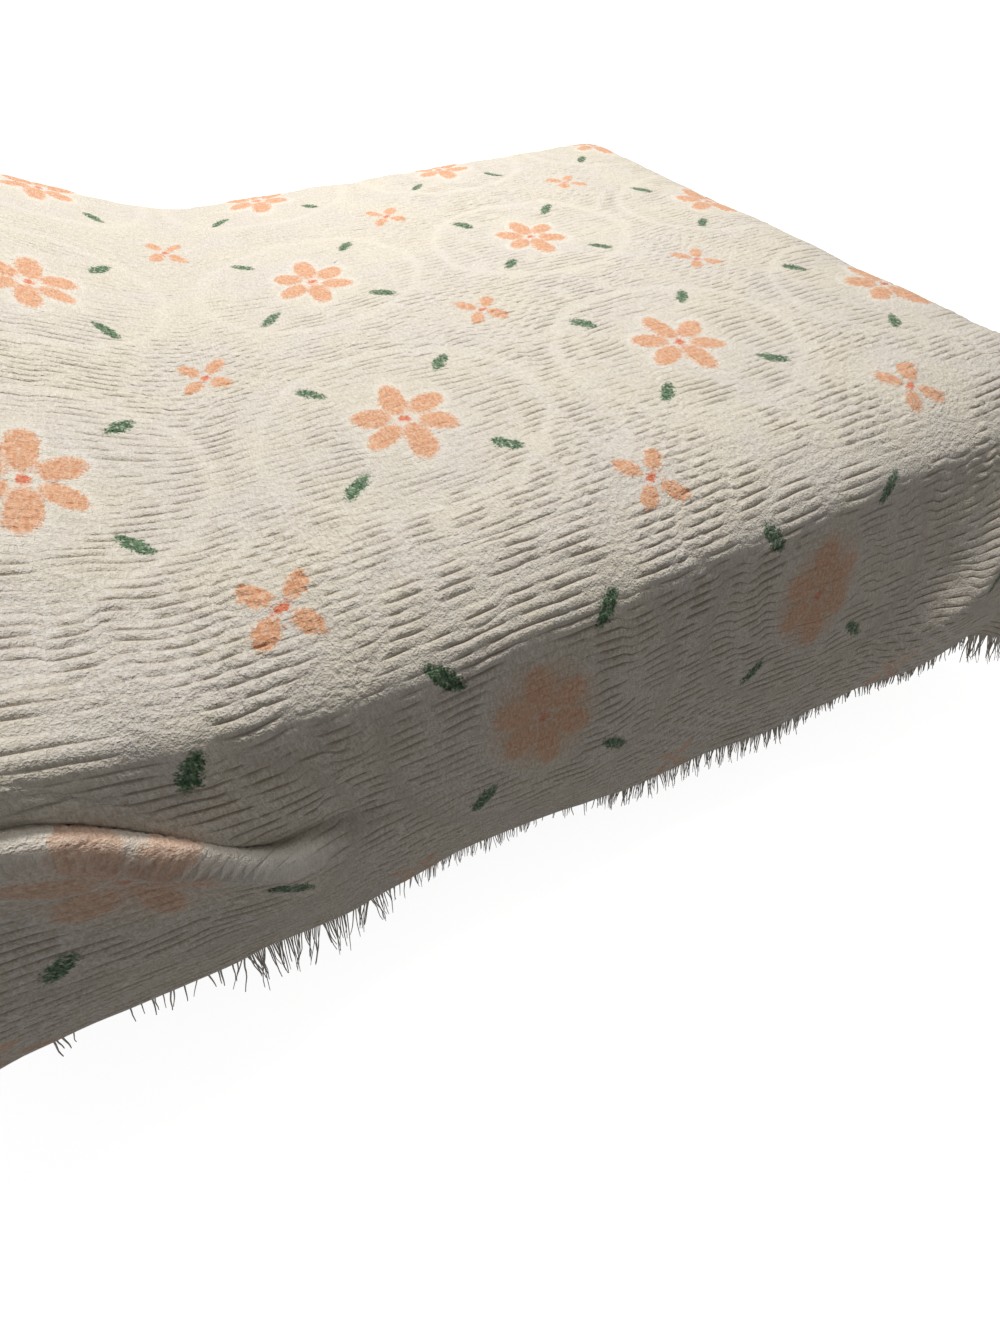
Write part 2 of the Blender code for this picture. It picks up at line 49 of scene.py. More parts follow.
FLAT_HALF = 0.585  # across, where the top begins to roll over a long side
FLAT_FOOT = 0.86  # along, the same at the foot
CLOTH_TOP = 0.58  # height of the cloth's middle on the flat of the bed
HEAD_ROLL = 0.0965  # radius of the roll over the head end
CUT_HEAD = -0.95  # along, the plain hem
DROP = 0.48  # cloth from the start of the roll to the fringed hem
HALF_CUT = FLAT_HALF + DROP
FOOT_CUT = FLAT_FOOT + DROP

# the mattress's worn edge: cloth from the start of the roll, degrees below horizontal
EDGE_SLANTS = ((0.0, 12), (0.02, 18), (0.04, 22.5), (0.06, 28), (0.08, 33), (0.09, 43), (0.10, 54),
               (0.11, 63), (0.125, 76), (0.16, 95))
EDGE_SAG = 0.06  # how far in from its edges the top begins to sag
FAR_SAG = 0.3  # shares of the near edge's sag
FOOT_SAG = 0.6
EDGE_DRAW = 0.25  # share by which the near roll is shorter under the pillow
EDGE_LIFT = 11  # degrees by which it is flatter there
DRAWN = (-0.05, -0.36)  # along, where the pillow begins to tell
LIFT_ENDS = (0.08, 0.02)  # down the drop

RISE = 0.15  # height of the cloth over the pillows
RISE_START_FAR = -0.13  # along, at the far edge of the top
RISE_START_NEAR = -0.26
RISE_RUN_FAR = 0.473  # to full height
RISE_RUN_NEAR = 0.41
RISE_SHOULDER = 0.18  # share by which it is lower towards the long sides
RISE_EDGE = (0.35, 0.235)  # across
RISE_BACK = (-0.83, -0.12)  # along, where it falls towards the head
RISE_CORNER = 0.45  # share kept at the head end's corners

HANG_FROM = 0.28  # down the drop, where it begins to turn upright
HANG_FULL = 0.44
# slants of each drop: place along its side, upper part, hem
SLANTS = {
    "near": ((-0.95, 72, 89), (-0.50, 60, 86), (-0.15, 71, 93), (0.40, 66, 71.5), (0.86, 52, 88)),
    "far": ((-0.95, 72, 88), (-0.20, 75, 86), (0.45, 70, 84), (0.86, 72, 84)),
    "foot": ((-0.585, 64, 80), (0.0, 73, 86), (0.585, 72, 84)),
}
WAVE_FROM = 0.12  # down the drop
# soft upright waves of each drop: place, width, depth at the hem
WAVES = {
    "near": ((-0.78, 0.10, 0.012), (0.03, 0.13, 0.0015), (0.29, 0.10, -0.011), (0.55, 0.09, -0.003),
             (0.72, 0.07, 0.008)),
    "far": ((-0.62, 0.12, 0.016), (-0.28, 0.10, -0.012), (0.16, 0.13, 0.018), (0.60, 0.11, -0.010)),
    "foot": ((-0.30, 0.11, 0.014), (0.02, 0.12, -0.010), (0.33, 0.10, 0.016)),
}

# the ledge fold of the near drop
LEDGE_DEPTH = 0.140  # down the drop to its middle, towards the head
LEDGE_FALL = 0.116  # how much lower it runs out
LEDGE_TURN = (-0.453, 0.146)  # along, where it falls
LEDGE_END = (-0.167, -0.126)  # along, where it has gone
LEDGE_HEAD = -0.74  # along, where it fades towards the head
LEDGE_HEAD_RUN = 0.14
LEDGE_HALF = 0.0185  # half its width on the cloth
LEDGE_SLANT = 36  # on top of the ledge
HOLLOW_SLANT = 101  # above it
HANG_SLANT = 83  # under it
# its parts, as ramps in half widths from its middle
HOLLOW_IN = (-3.2, 1.6)
SHELF_IN = (-1.5, 0.9)
HANG_IN = (0.5, 0.9)
HANG_OUT = (2.5, 3)
HANG_FADES = 0.6  # share that fades again

CORNER_FLUTES = 2
FLUTE_FROM = 0.10  # down the drop
FLUTE_OUT = 0.075
CORNER_IN = 0.10  # share by which a corner draws in between its flutes

REPEAT_LONG = 0.425  # one repeat of the pattern along the bed
REPEAT_WIDE = 0.4535  # and across it
PATTERN_LONG = 4.02  # repeats at the start of the foot's roll
PATTERN_WIDE = 0.469  # repeats at the near edge of the flat
ROWS = 36  # tufted rows in a repeat
TAKEN_UP = 0.075  # cloth taken up by the climb over the pillows
TAKEN_UNTIL = (0.45, 0.25)  # towards the near side

# the motifs, in repeats from the middle of their flower: middle, half sizes, turn
BIG_PETALS = (((0.0, 0.104), (0.042, 0.082), 0), ((0.084, 0.050), (0.063, 0.041), 33))
SMALL_PETALS = (((0.043, 0.049), (0.042, 0.026), 50),)
BIG_CENTRE = ((0.0, 0.0), (0.017, 0.016), 0)
SMALL_CENTRE = ((0.0, 0.0), (0.019, 0.011), 24)
LEAVES = (((0.221, 0.2465), (0.056, 0.023), 48), ((0.2195, -0.214), (0.056, 0.023), -44))
BRUSHED = ((0.0, 0.0), (0.155, 0.175), 0)  # a worn flower whose colour has spread


# ---- how the cloth lies

def ease(value):
    """0 below 0, 1 above 1, and a smooth climb between."""
    part = np.clip(value, 0.0, 1.0)
    return part * part * (3 - 2 * part)


def ramp(value, start, run):
    """0 before the start, 1 after the run, and a smooth climb between."""
    return ease((value - start) / run)


def eased_column(rows, column, place):
    """A column of a table at many places, eased between its rows."""
    found = np.full(np.shape(place), float(rows[0][column]))
    for low, high in zip(rows, rows[1:]):
        between = low[column] + (high[column] - low[column]) * ramp(place, low[0], high[0] - low[0])
        found = np.where(place > low[0], between, found)
    return found


def past_edges(along, across):
    """How far points of the flat cut lie past the top's edges: at the foot, and at a long side."""
    return np.maximum(along - FLAT_FOOT, 0.0), np.maximum(np.abs(across) - FLAT_HALF, 0.0)


def rise_start(across):
    """How near a point is to the near side, from 0 to 1, and where the rise starts there."""
    near = np.clip((FLAT_HALF - across) / (2 * FLAT_HALF), 0.0, 1.0)
    return near, RISE_START_FAR + (RISE_START_NEAR - RISE_START_FAR) * near


def rise(along, across):
    """Height of the cloth over the flat of the bed, where it covers the pillows."""
    near, start = rise_start(across)
    run = RISE_RUN_FAR + (RISE_RUN_NEAR - RISE_RUN_FAR) * near
    edge = ramp(np.abs(across), *RISE_EDGE)
    back = 1 - ramp(along, *RISE_BACK) * (1 - RISE_CORNER * edge)
    return RISE * ramp(along, start, -run) * back * (1 - RISE_SHOULDER * edge)


def near_lift(place):
    """How far the pillow lifts the cloth off the mattress's near edge, from 0 to 1."""
    return ramp(place, *DRAWN)


def ledge_depth(place):
    """How far down the near drop the middle of the ledge lies."""
    return LEDGE_DEPTH + LEDGE_FALL * ramp(place, *LEDGE_TURN)


def slants(side, place, down):
    """Angle of the cloth below horizontal, in radians, at a distance down one side's drop."""
    upper = eased_column(SLANTS[side], 1, place)
    hem = eased_column(SLANTS[side], 2, place)
    angle = upper + (hem - upper) * ramp(down, HANG_FROM, HANG_FULL - HANG_FROM)
    if side == "near":
        strength = ramp(place, *LEDGE_END) * ease((place - LEDGE_HEAD) / LEDGE_HEAD_RUN + 1)
        off = (down - ledge_depth(place)) / LEDGE_HALF
        hollow = ramp(off, *HOLLOW_IN) * (1 - ramp(off, *SHELF_IN))
        shelf = ramp(off, *SHELF_IN) * (1 - ramp(off, *HANG_IN))
        hang = ramp(off, *HANG_IN) * (1 - HANG_FADES * ramp(off, *HANG_OUT))
        for part, slant in ((hollow, HOLLOW_SLANT), (shelf, LEDGE_SLANT), (hang, HANG_SLANT)):
            angle += strength * part * (slant - angle)
    lift = near_lift(place) if side == "near" else 0.0
    down = down / (1 - EDGE_DRAW * lift)
    edge = np.interp(down, *np.transpose(EDGE_SLANTS))
    edge -= EDGE_LIFT * lift * (1 - ramp(down, *LIFT_ENDS))
    return np.radians(np.minimum(edge, angle))


def sag(inward):
    """How much lower the top lies at a distance in from one of its edges."""
    over = np.clip(EDGE_SAG - inward, 0.0, EDGE_SAG)
    return math.radians(EDGE_SLANTS[0][1]) * over * over / (2 * EDGE_SAG)


# the drops are worked out once, at steps along each side and strides down it
TABLE_START = -0.96
TABLE_LONG = 1.94
TABLE_STEP = 0.005
STRIDE = 0.004


def fall_table(side):
    """How far out and down the cloth has gone, for places along a side and strides down it."""
    places = TABLE_START + TABLE_STEP * np.arange(int(TABLE_LONG / TABLE_STEP) + 1)
    downs = STRIDE * np.arange(int(DROP / STRIDE) + 4)
    place, middle = np.meshgrid(places, downs[:-1] + STRIDE / 2, indexing="ij")
    angle = slants(side, place, middle)
    out = np.zeros((len(places), len(downs)))
    low = np.zeros_like(out)
    out[:, 1:] = np.cumsum(np.cos(angle), axis=1) * STRIDE
    low[:, 1:] = np.cumsum(np.sin(angle), axis=1) * STRIDE
    for middle, width, depth in WAVES[side]:
        wave = depth * np.exp(-((places - middle) / width) ** 2)
        out += wave[:, None] * ramp(downs, WAVE_FROM, DROP - WAVE_FROM)[None, :]
    return out, low


FALLS = {side: fall_table(side) for side in SLANTS}


def between(values, i, j, next_i, next_j, a, b):
    """A value between four entries of a table."""
    low = values[i, j] * (1 - b) + values[i, next_j] * b
    high = values[next_i, j] * (1 - b) + values[next_i, next_j] * b
    return low * (1 - a) + high * a


def fall(side, place, down):
    """Out and down on one side's drop, read between the entries of its table."""
    tables = FALLS[side]
    x = np.clip((place - TABLE_START) / TABLE_STEP, 0, tables[0].shape[0] - 1.001)
    y = np.clip(down / STRIDE, 0, tables[0].shape[1] - 1.001)
    i, j = x.astype(int), y.astype(int)
    return [between(values, i, j, i + 1, j + 1, x - i, y - j) for values in tables]


def drape(along, across):
    """Points of the middle of the cloth on the bed for points of the flat cut."""
    past_foot, past_side = past_edges(along, across)
    past_head = np.maximum(-FLAT_FOOT - along, 0.0)
    on_along = np.minimum(along, FLAT_FOOT) + past_head - HEAD_ROLL * np.sin(past_head / HEAD_ROLL)
    on_across = np.clip(across, -FLAT_HALF, FLAT_HALF)
    top = CLOTH_TOP + rise(on_along, on_across) - HEAD_ROLL * (1 - np.cos(past_head / HEAD_ROLL))
    lifted = 1 - EDGE_LIFT / EDGE_SLANTS[0][1] * near_lift(on_along)
    top -= lifted * sag(FLAT_HALF + on_across)
    top -= FAR_SAG * sag(FLAT_HALF - on_across) + FOOT_SAG * sag(FLAT_FOOT - on_along)
    reach = np.hypot(past_foot, past_side)
    turn = np.arctan2(past_side, past_foot) / (math.pi / 2)
    side = np.where(across > 0, fall("far", on_along, reach), fall("near", on_along, reach))
    foot = np.array(fall("foot", on_across, reach))
    out, low = foot + (side - foot) * ease(turn)
    grown = ramp(reach, FLUTE_FROM, DROP - FLUTE_FROM)
    flute = (1 - np.cos(2 * math.pi * CORNER_FLUTES * turn)) / 2
    middle = np.sin(math.pi * turn) ** 2
    out = out + grown * (FLUTE_OUT * flute - CORNER_IN * middle * out)
    angle = turn * math.pi / 2
    x = on_along + out * np.cos(angle) * (past_foot > 0)
    y = on_across + np.sign(across) * out * np.sin(angle) * (past_side > 0)
    return np.stack([x, y, top - low], axis=-1)


NOISE_CELLS = 64


def noise(x, y, seed):
    """Smooth random values from -1 to 1 over a plane, the same on every run."""
    cells = np.random.default_rng(seed).uniform(-1, 1, (NOISE_CELLS, NOISE_CELLS))
    i, j = np.floor(x).astype(int), np.floor(y).astype(int)
    corners = (index % NOISE_CELLS for index in (i, j, i + 1, j + 1))
    return between(cells, *corners, ease(x - i), ease(y - j))


# soft ridges, given one by one: along, across, half length, half width, turn, height
CREASES = (
    (-0.62, -0.30, 0.22, 0.045, 10, 0.007),
    (-0.40, -0.47, 0.16, 0.040, -14, 0.006),
    (-0.255, -0.57, 0.11, 0.022, 82, 0.006),
    (-0.345, -0.56, 0.12, 0.022, 98, 0.007),
    (-0.78, 0.30, 0.20, 0.060, 80, 0.007),
    (0.10, 0.40, 0.30, 0.050, 6, 0.004),
    (0.62, 0.28, 0.22, 0.045, -24, 0.004),
    (-0.20, 0.10, 0.28, 0.060, 20, 0.004),
    (-0.30, -0.76, 0.20, 0.030, 12, 0.006),
    (0.10, -0.82, 0.14, 0.035, 70, 0.007),
    (0.45, -0.80, 0.16, 0.035, 84, 0.007),
    (0.70, -0.74, 0.16, 0.030, 96, 0.006),
    (0.68, -0.925, 0.14, 0.036, 40, 0.018),
    (-0.62, -0.92, 0.14, 0.030, 60, 0.007),
)
# the cloth's own unevenness: height, size along, size across, seed
UNEVEN = ((0.0022, 0.11, 0.13, 3), (0.0012, 0.045, 0.06, 4))
PROBE = 0.003  # over which a facing is measured, to each side


def turned(x, y, degrees):
    """A place seen from axes that are turned."""
    cos, sin = math.cos(math.radians(degrees)), math.sin(math.radians(degrees))
    return x * cos + y * sin, y * cos - x * sin


def creased(along, across):
    """How far the soft creases and the cloth's own unevenness stand off the plain drape."""
    height = 0.0
    for tall, long, wide, seed in UNEVEN:
        height += tall * (noise(along / long, across / wide, seed) + 1)
    for middle, side, long, wide, turn, tall in CREASES:
        x, y = turned(along - middle, across - side, turn)
        height += tall * np.exp(-((x / long) ** 2 + (y / wide) ** 2))
    return height


def laid(along, across):
    """Points of the creased cloth and the directions that face out of it."""
    ahead = drape(along + PROBE, across) - drape(along - PROBE, across)
    aside = drape(along, across + PROBE) - drape(along, across - PROBE)
    facing = unit(np.cross(ahead, aside))
    return drape(along, across) + facing * creased(along, across)[..., None], facing


def unit(vectors):
    return vectors / np.maximum(np.linalg.norm(vectors, axis=-1, keepdims=True), 1e-12)


def repeats(along, across):
    """Where a point of the flat cut is in the pattern, in repeats."""
    start = rise_start(across)[1]
    taken = TAKEN_UP * ramp(along, start, -RISE_RUN_NEAR) * (1 - ramp(-across, *TAKEN_UNTIL))
    u = PATTERN_LONG - (FLAT_FOOT - along + taken) / REPEAT_LONG
    return u, PATTERN_WIDE + (across + FLAT_HALF) / REPEAT_WIDE


# ---- helpers for meshes

def read(items, label, width=1, kind=float):
    """One property of all points or corners of a mesh."""
    values = np.empty(len(items) * width, dtype=kind)
    items.foreach_get(label, values)
    return values.reshape(-1, width) if width > 1 else values


def set_uv(mesh, layer, u, v):
    """Gives each corner of a mesh the pattern's place at its point."""
    corner = read(mesh.loops, "vertex_index", kind=np.int32)
    layer.data.foreach_set("uv", np.stack([u.ravel(), v.ravel()], axis=-1)[corner].ravel())


def set_mask(mesh, label, values):
    mesh.attributes.new(label, "FLOAT", "POINT").data.foreach_set("value", values.ravel())


def reworked(mesh, change):
    """Runs a change on a mesh's editable form."""
    work = bmesh.new()
    work.from_mesh(mesh)
    work.verts.ensure_lookup_table()
    change(work)
    work.to_mesh(mesh)
    work.free()


def apply_settings(made, settings):
    for label, value in settings.items():
        setattr(made, label, value)


def modified(piece, kind, **settings):
    """Applies one modifier to a piece."""
    bpy.context.view_layer.objects.active = piece
    apply_settings(piece.modifiers.new(kind, kind), settings)
    bpy.ops.object.modifier_apply(modifier=kind)


def sheet_from(name, along, across, height, trim, masks):
    """A grid carried to its place on the bed; height lifts each point off the cloth's middle."""
    rows, columns = along.shape
    bpy.ops.mesh.primitive_grid_add(x_subdivisions=columns - 1, y_subdivisions=rows - 1, size=1)
    made = bpy.context.object
    made.name = made.data.name = name
    mesh = made.data
    places, facing = laid(along, across)
    mesh.vertices.foreach_set("co", (places + facing * height[..., None]).ravel())
    set_uv(mesh, mesh.uv_layers[0], *repeats(along, across))
    for label, values in masks.items():
        set_mask(mesh, label, values)
    outside = np.flatnonzero(np.hypot(*past_edges(along, across)) > DROP + trim)
    reworked(mesh, lambda work: bmesh.ops.delete(
        work, geom=[work.verts[index] for index in outside], context="VERTS"))
    mesh.shade_smooth()
    mesh.update()
    made.select_set(False)
    return made


def new_object(data):
    """An object for a mesh, light or camera, under the same name."""
    made = bpy.data.objects.new(data.name, data)
    bpy.context.scene.collection.objects.link(made)
    return made


def finished(piece, finish, slot_name, *nodes):
    """Gives a piece its material and body, and hides the solids that it stands for; its slot name is not
    used.
    """
    piece.data.materials.clear()
    piece.data.materials.append(finish)
    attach(piece, "root")
    if nodes:
        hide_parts(*nodes)
    return piece


# ---- node helpers

class Wiring:
    """Short names for the nodes that the finishes below are wired from."""

    def __init__(self, tree):
        self.tree = tree

    def node(self, kind, *inputs, **settings):
        made = self.tree.nodes.new("ShaderNode" + kind)
        apply_settings(made, settings)
        for index, value in enumerate(inputs):
            self.feed(made.inputs[index], value)
        return made

    def feed(self, socket, value):
        if isinstance(value, bpy.types.NodeSocket):
            self.tree.links.new(value, socket)
        else:
            socket.default_value = value

    def named(self, kind, inputs, **settings):
        """A node whose inputs are given by name."""
        made = self.node(kind, **settings)
        for label, value in inputs.items():
            self.feed(made.inputs[label], value)
        return made

    def math(self, operation, *values):
        return self.node("Math", *values, operation=operation).outputs[0]

    def chain(self, operation, first, *others):
        for other in others:
            first = self.math(operation, first, other)
        return first

    def times(self, *values):
        return self.chain("MULTIPLY", *values)

    def least(self, *values):
        return self.chain("MINIMUM", *values)

    def spread(self, value, low, high, start=0.0, end=1.0):
        return self.node("MapRange", value, low, high, start, end, interpolation_type="SMOOTHSTEP").outputs[0]

    def mix(self, share, first, second):
        """Two colours mixed; a fixed one is given as it displays."""
        made = self.node("Mix", data_type="RGBA")
        for name, value in (("Factor_Float", share), ("A_Color", first), ("B_Color", second)):
            value = srgb(*value) if isinstance(value, tuple) else value
            self.feed(next(s for s in made.inputs if s.identifier == name), value)
        return next(s for s in made.outputs if s.identifier == "Result_Color")

    def vector(self, operation, *values):
        made = self.node("VectorMath", *values, operation=operation)
        return made.outputs["Value" if operation == "LENGTH" else "Vector"]

    def noise(self, place, scale, detail=2.0, roughness=0.5, colour=False):
        made = self.named("TexNoise", {"Vector": place, "Scale": scale, "Detail": detail,
                                       "Roughness": roughness})
        return made.outputs["Color" if colour else "Fac"]

    def mottle(self, place, scale, detail):
        """Soft patches, half of one kind and half of the other."""
        return self.spread(self.noise(place, scale, detail), 0.35, 0.65)

    def checker(self, place, scale):
        return self.named("TexChecker", {"Vector": place, "Scale": scale}).outputs["Fac"]

    def oval(self, place, middle, half, turn):
        """Distance from an oval's middle: 1 on its rim."""
        made = self.node("Mapping", place, (*middle, 0.0), (0.0, 0.0, math.radians(turn)), (*half, 1.0),
                         vector_type="TEXTURE")
        return self.vector("LENGTH", made.outputs[0])

    def place(self):
        return self.node("TexCoord").outputs["Object"]

    def pattern(self):
        return self.node("UVMap", uv_map="UVMap").outputs[0]

    def mask(self, label):
        return self.node("Attribute", attribute_name=label).outputs["Fac"]


class Finish(Wiring):
    """The wiring of a material, from its fixed values on."""

    def __init__(self, name, roughness, **fixed):
        self.material = bpy.data.materials.new(name)
        self.material.use_nodes = True
        super().__init__(self.material.node_tree)
        self.shader = self.tree.nodes["Principled BSDF"]
        self.set("Roughness", roughness)
        for label, value in fixed.items():
            self.set(label.replace("_", " "), value)

    def set(self, label, value):
        self.feed(self.shader.inputs[label], value)

    def done(self, colour, height, strength, distance):
        """The material, once it has its colour and its bump."""
        self.set("Base Color", colour)
        bump = self.named("Bump", {"Strength": strength, "Distance": distance, "Height": height})
        self.set("Normal", bump.outputs[0])
        return self.material


def new_group(name, inputs, outputs):
    tree = bpy.data.node_groups.new(name, "ShaderNodeTree")
    for label in inputs:
        tree.interface.new_socket(label, in_out="INPUT", socket_type="NodeSocketVector")
    for label in outputs:
        tree.interface.new_socket(label, in_out="OUTPUT", socket_type="NodeSocketFloat")
    return Wiring(tree), tree.nodes.new("NodeGroupInput").outputs, tree.nodes.new("NodeGroupOutput").inputs


def srgb(red, green, blue):
    """A display colour, 0 to 255 each, as linear light."""
    parts = [value / 255 for value in (red, green, blue)]
    return tuple(p / 12.92 if p <= 0.04045 else ((p + 0.055) / 1.055) ** 2.4 for p in parts) + (1.0,)


# ---- shared effects

def flower_group():
    """Masks of the tufted flowers and leaves, from the pattern's repeats."""
    w, given, put = new_group("tufted_flowers", ["Repeats"],
                              ["Petals", "Centres", "Leaves", "Outline", "Brushed"])
    pattern = place = given["Repeats"]
    # ragged, shaggy and uneven rims: noise scale, detail, how far it strays
    for scale, detail, stray in ((70.0, 2.0, (0.044, 0.024, 0.0)), (190.0, 1.0, (0.030, 0.022, 0.0)),
                                 (5.0, 1.0, (0.035, 0.035, 0.0))):
        off = w.vector("SUBTRACT", w.noise(pattern, scale, detail, colour=True), (0.5, 0.5, 0.5))
        place = w.vector("ADD", place, w.vector("MULTIPLY", off, stray))
    whole = w.vector("SNAP", w.vector("ADD", place, (0.5, 0.5, 0.0)), (1.0, 1.0, 1.0))
    big = w.vector("SUBTRACT", place, whole)
    half = w.vector("SNAP", place, (1.0, 1.0, 1.0))
    small = w.vector("SUBTRACT", w.vector("SUBTRACT", place, half), (0.5, 0.5, 0.0))
    big_fold = w.vector("ABSOLUTE", big)
    small_fold = w.vector("ABSOLUTE", small)
    sideways = w.node("SeparateXYZ", big).outputs
    leaf_fold = w.node("CombineXYZ", w.math("ABSOLUTE", sideways[0]), sideways[1], 0.0).outputs[0]
    big_petals = w.least(*[w.oval(big_fold, *oval) for oval in BIG_PETALS])
    petals = w.least(big_petals, *[w.oval(small_fold, *oval) for oval in SMALL_PETALS])
    centres = w.least(w.oval(big, *BIG_CENTRE), w.oval(small, *SMALL_CENTRE))
    leaves = w.least(*[w.oval(leaf_fold, *oval) for oval in LEAVES])
    thin = w.spread(w.noise(pattern, 60.0, 2.0), 0.34, 0.48, 0.80, 1.0)
    chunks = w.spread(w.noise(pattern, 95.0, 1.0), 0.28, 0.46, 0.35, 1.0)
    w.feed(put["Petals"], w.times(w.spread(petals, 0.82, 1.12, 1.0, 0.0), thin))
    w.feed(put["Centres"], w.spread(centres, 0.6, 1.4, 1.0, 0.0))
    w.feed(put["Leaves"], w.times(w.spread(leaves, 0.74, 1.12, 1.0, 0.0), chunks))
    w.feed(put["Outline"], w.spread(big_petals, 1.0, 1.7, 1.0, 0.0))
    w.feed(put["Brushed"], w.spread(w.oval(big, *BRUSHED), 0.55, 1.25, 1.0, 0.0))
    return w.tree


def tuft_group():
    """The fuzz of cut pile, combed across the rows and clumped, and its mottling."""
    w, given, put = new_group("cut_pile", ["Repeats", "Place"], ["Fuzz", "Mottle"])
    combed = w.noise(w.vector("MULTIPLY", given["Repeats"], (150.0, 45.0, 1.0)), 1.0, 2.0, 0.6)
    fine = w.noise(given["Place"], 480.0, 1.0, 0.6)
    clump = w.noise(given["Place"], 210.0, 2.0, 0.7)
    fuzz = w.math("ADD", w.times(combed, 0.38), w.times(fine, 0.24))
    w.feed(put["Fuzz"], w.math("ADD", fuzz, w.times(clump, 0.38)))
    w.feed(put["Mottle"], w.noise(given["Place"], 9.0, 3.0, 0.6))
    return w.tree


FLOWERS = flower_group()
TUFTS = tuft_group()


def chenille_material():
    """Cream cut pile with its peach flowers and green leaves tufted in, with painted shade in its grooves,
    fuzz and hanging drop and a painted highlight on the ledge's lip.
    """
    w = Finish("chenille_pile", 0.95, Sheen_Weight=0.25, Sheen_Roughness=0.6, Specular_IOR_Level=0.15)
    pattern = w.pattern()
    flowers = w.named("Group", {"Repeats": pattern}, node_tree=FLOWERS).outputs
    fuzz, mottle = w.named("Group", {"Repeats": pattern, "Place": w.place()}, node_tree=TUFTS).outputs
    groove, pebbled, ring, hung, faded, crest_highlight = [
        w.mask(label) for label in ("groove", "pebbled", "ring", "hung", "faded", "crest_highlight")]
    petals, centres, leaves, outline, brushed = flowers
    # painted shade: the cream, peach, orange and green below are darker where the fuzz's bump is low
    deep = w.spread(fuzz, 0.60, 0.42)
    cream = w.mix(w.spread(mottle, 0.35, 0.65), (226, 220, 206), (223, 218, 211))
    for share, tint in (
            # painted shade in the fuzz's low parts, stronger on the hanging drop
            (w.times(deep, w.spread(hung, 0.0, 1.0, 0.5, 0.75)), (192, 182, 162)),
            # painted shade in the grooves, stronger on the hanging drop, with some of the ground cloth's
            # colour showing through
            (w.times(groove, w.spread(hung, 0.0, 1.0, 0.55, 0.85)), (164, 146, 120)),
            (w.times(outline, w.spread(faded, 0.0, 1.0, 0.35, 0.0)), (240, 236, 226)),
            (w.times(ring, 0.15), (240, 235, 222)),
            # painted highlight: lighter cream along the ledge's padded lip, where its lit crest runs
            (w.times(crest_highlight, 0.8), (244, 240, 230)),
            # painted shade: the flat ring darker on the hanging drop
            (w.times(ring, hung, 0.45), (176, 164, 152)),
            (w.times(brushed, faded, w.spread(fuzz, 0.60, 0.42, 0.30, 0.70)), (214, 164, 124))):
        cream = w.mix(share, cream, tint)
    peach = w.mix(w.spread(fuzz, 0.68, 0.36), (236, 196, 162), (206, 142, 102))
    # painted shade: the peach darker in the grooves
    peach = w.mix(w.times(groove, 0.6), peach, (190, 122, 88))
    orange = w.mix(w.spread(fuzz, 0.6, 0.4), (228, 142, 106), (204, 104, 74))
    green = w.mix(deep, (112, 142, 106), (44, 78, 50))
    worn = w.spread(faded, 0.0, 0.4, 1.0, 0.55)
    colour = w.mix(w.times(petals, worn), cream, peach)
    colour = w.mix(w.times(centres, worn), colour, orange)
    colour = w.mix(leaves, colour, green)
    w.set("Roughness", w.spread(fuzz, 0.3, 0.7, 1.0, 0.88))
    pebbles = w.noise(w.vector("MULTIPLY", pattern, (44.0, 60.0, 1.0)), 1.0, 1.0)
    return w.done(colour, w.math("ADD", fuzz, w.times(pebbles, pebbled, 0.55)), 0.9, 0.0056)


def ground_material():
    """The plain-woven sheeting that the pile is tufted through, seen from underneath."""
    w = Finish("ground_cloth", 0.9, Sheen_Weight=0.1)
    pattern = w.pattern()
    stitches = w.named("TexWave", {"Vector": pattern, "Distortion": 0.4, "Scale": ROWS / 3.1416 / 2 * 0.999},
                       bands_direction="Y", wave_profile="SIN").outputs["Fac"]
    weave = w.checker(pattern, 500.0)
    colour = w.mix(w.mottle(w.place(), 14.0, 3.0), (222, 213, 193), (206, 196, 174))
    colour = w.mix(w.times(weave, 0.18), colour, (178, 166, 142))
    colour = w.mix(w.spread(stitches, 0.8, 0.95, 0.0, 0.4), colour, (238, 230, 214))
    return w.done(colour, w.math("ADD", stitches, w.times(weave, 0.3)), 0.5, 0.0008)


def thread_material():
    """Twisted cotton threads, a little greyed towards their tips."""
    w = Finish("fringe_threads", 0.9, Sheen_Weight=0.2)
    place = w.place()
    twist = w.noise(w.vector("MULTIPLY", place, (900.0, 900.0, 300.0)), 1.0, 1.0)
    colour = w.mix(w.mottle(place, 60.0, 2.0), (240, 235, 226), (220, 213, 201))
    colour = w.mix(w.times(w.mask("tip"), 0.6), colour, (196, 188, 176))
    return w.done(colour, twist, 0.5, 0.0004)


def wood_material():
    """Dark stained wood with long grain."""
    w = Finish("dark_wood_grain", 0.5)
    long = w.vector("MULTIPLY", w.place(), (1.5, 22.0, 22.0))
    grain = w.noise(long, 3.0, 5.0, 0.65)
    pores = w.noise(w.vector("MULTIPLY", long, (4.0, 14.0, 14.0)), 3.0, 2.0, 0.7)
    colour = w.mix(w.spread(grain, 0.3, 0.7), (52, 34, 26), (34, 22, 18))
    colour = w.mix(w.spread(pores, 0.6, 0.72, 0.0, 0.6), colour, (18, 12, 10))
    w.set("Roughness", w.spread(grain, 0.2, 0.8, 0.42, 0.62))
    return w.done(colour, pores, 0.3, 0.0006)


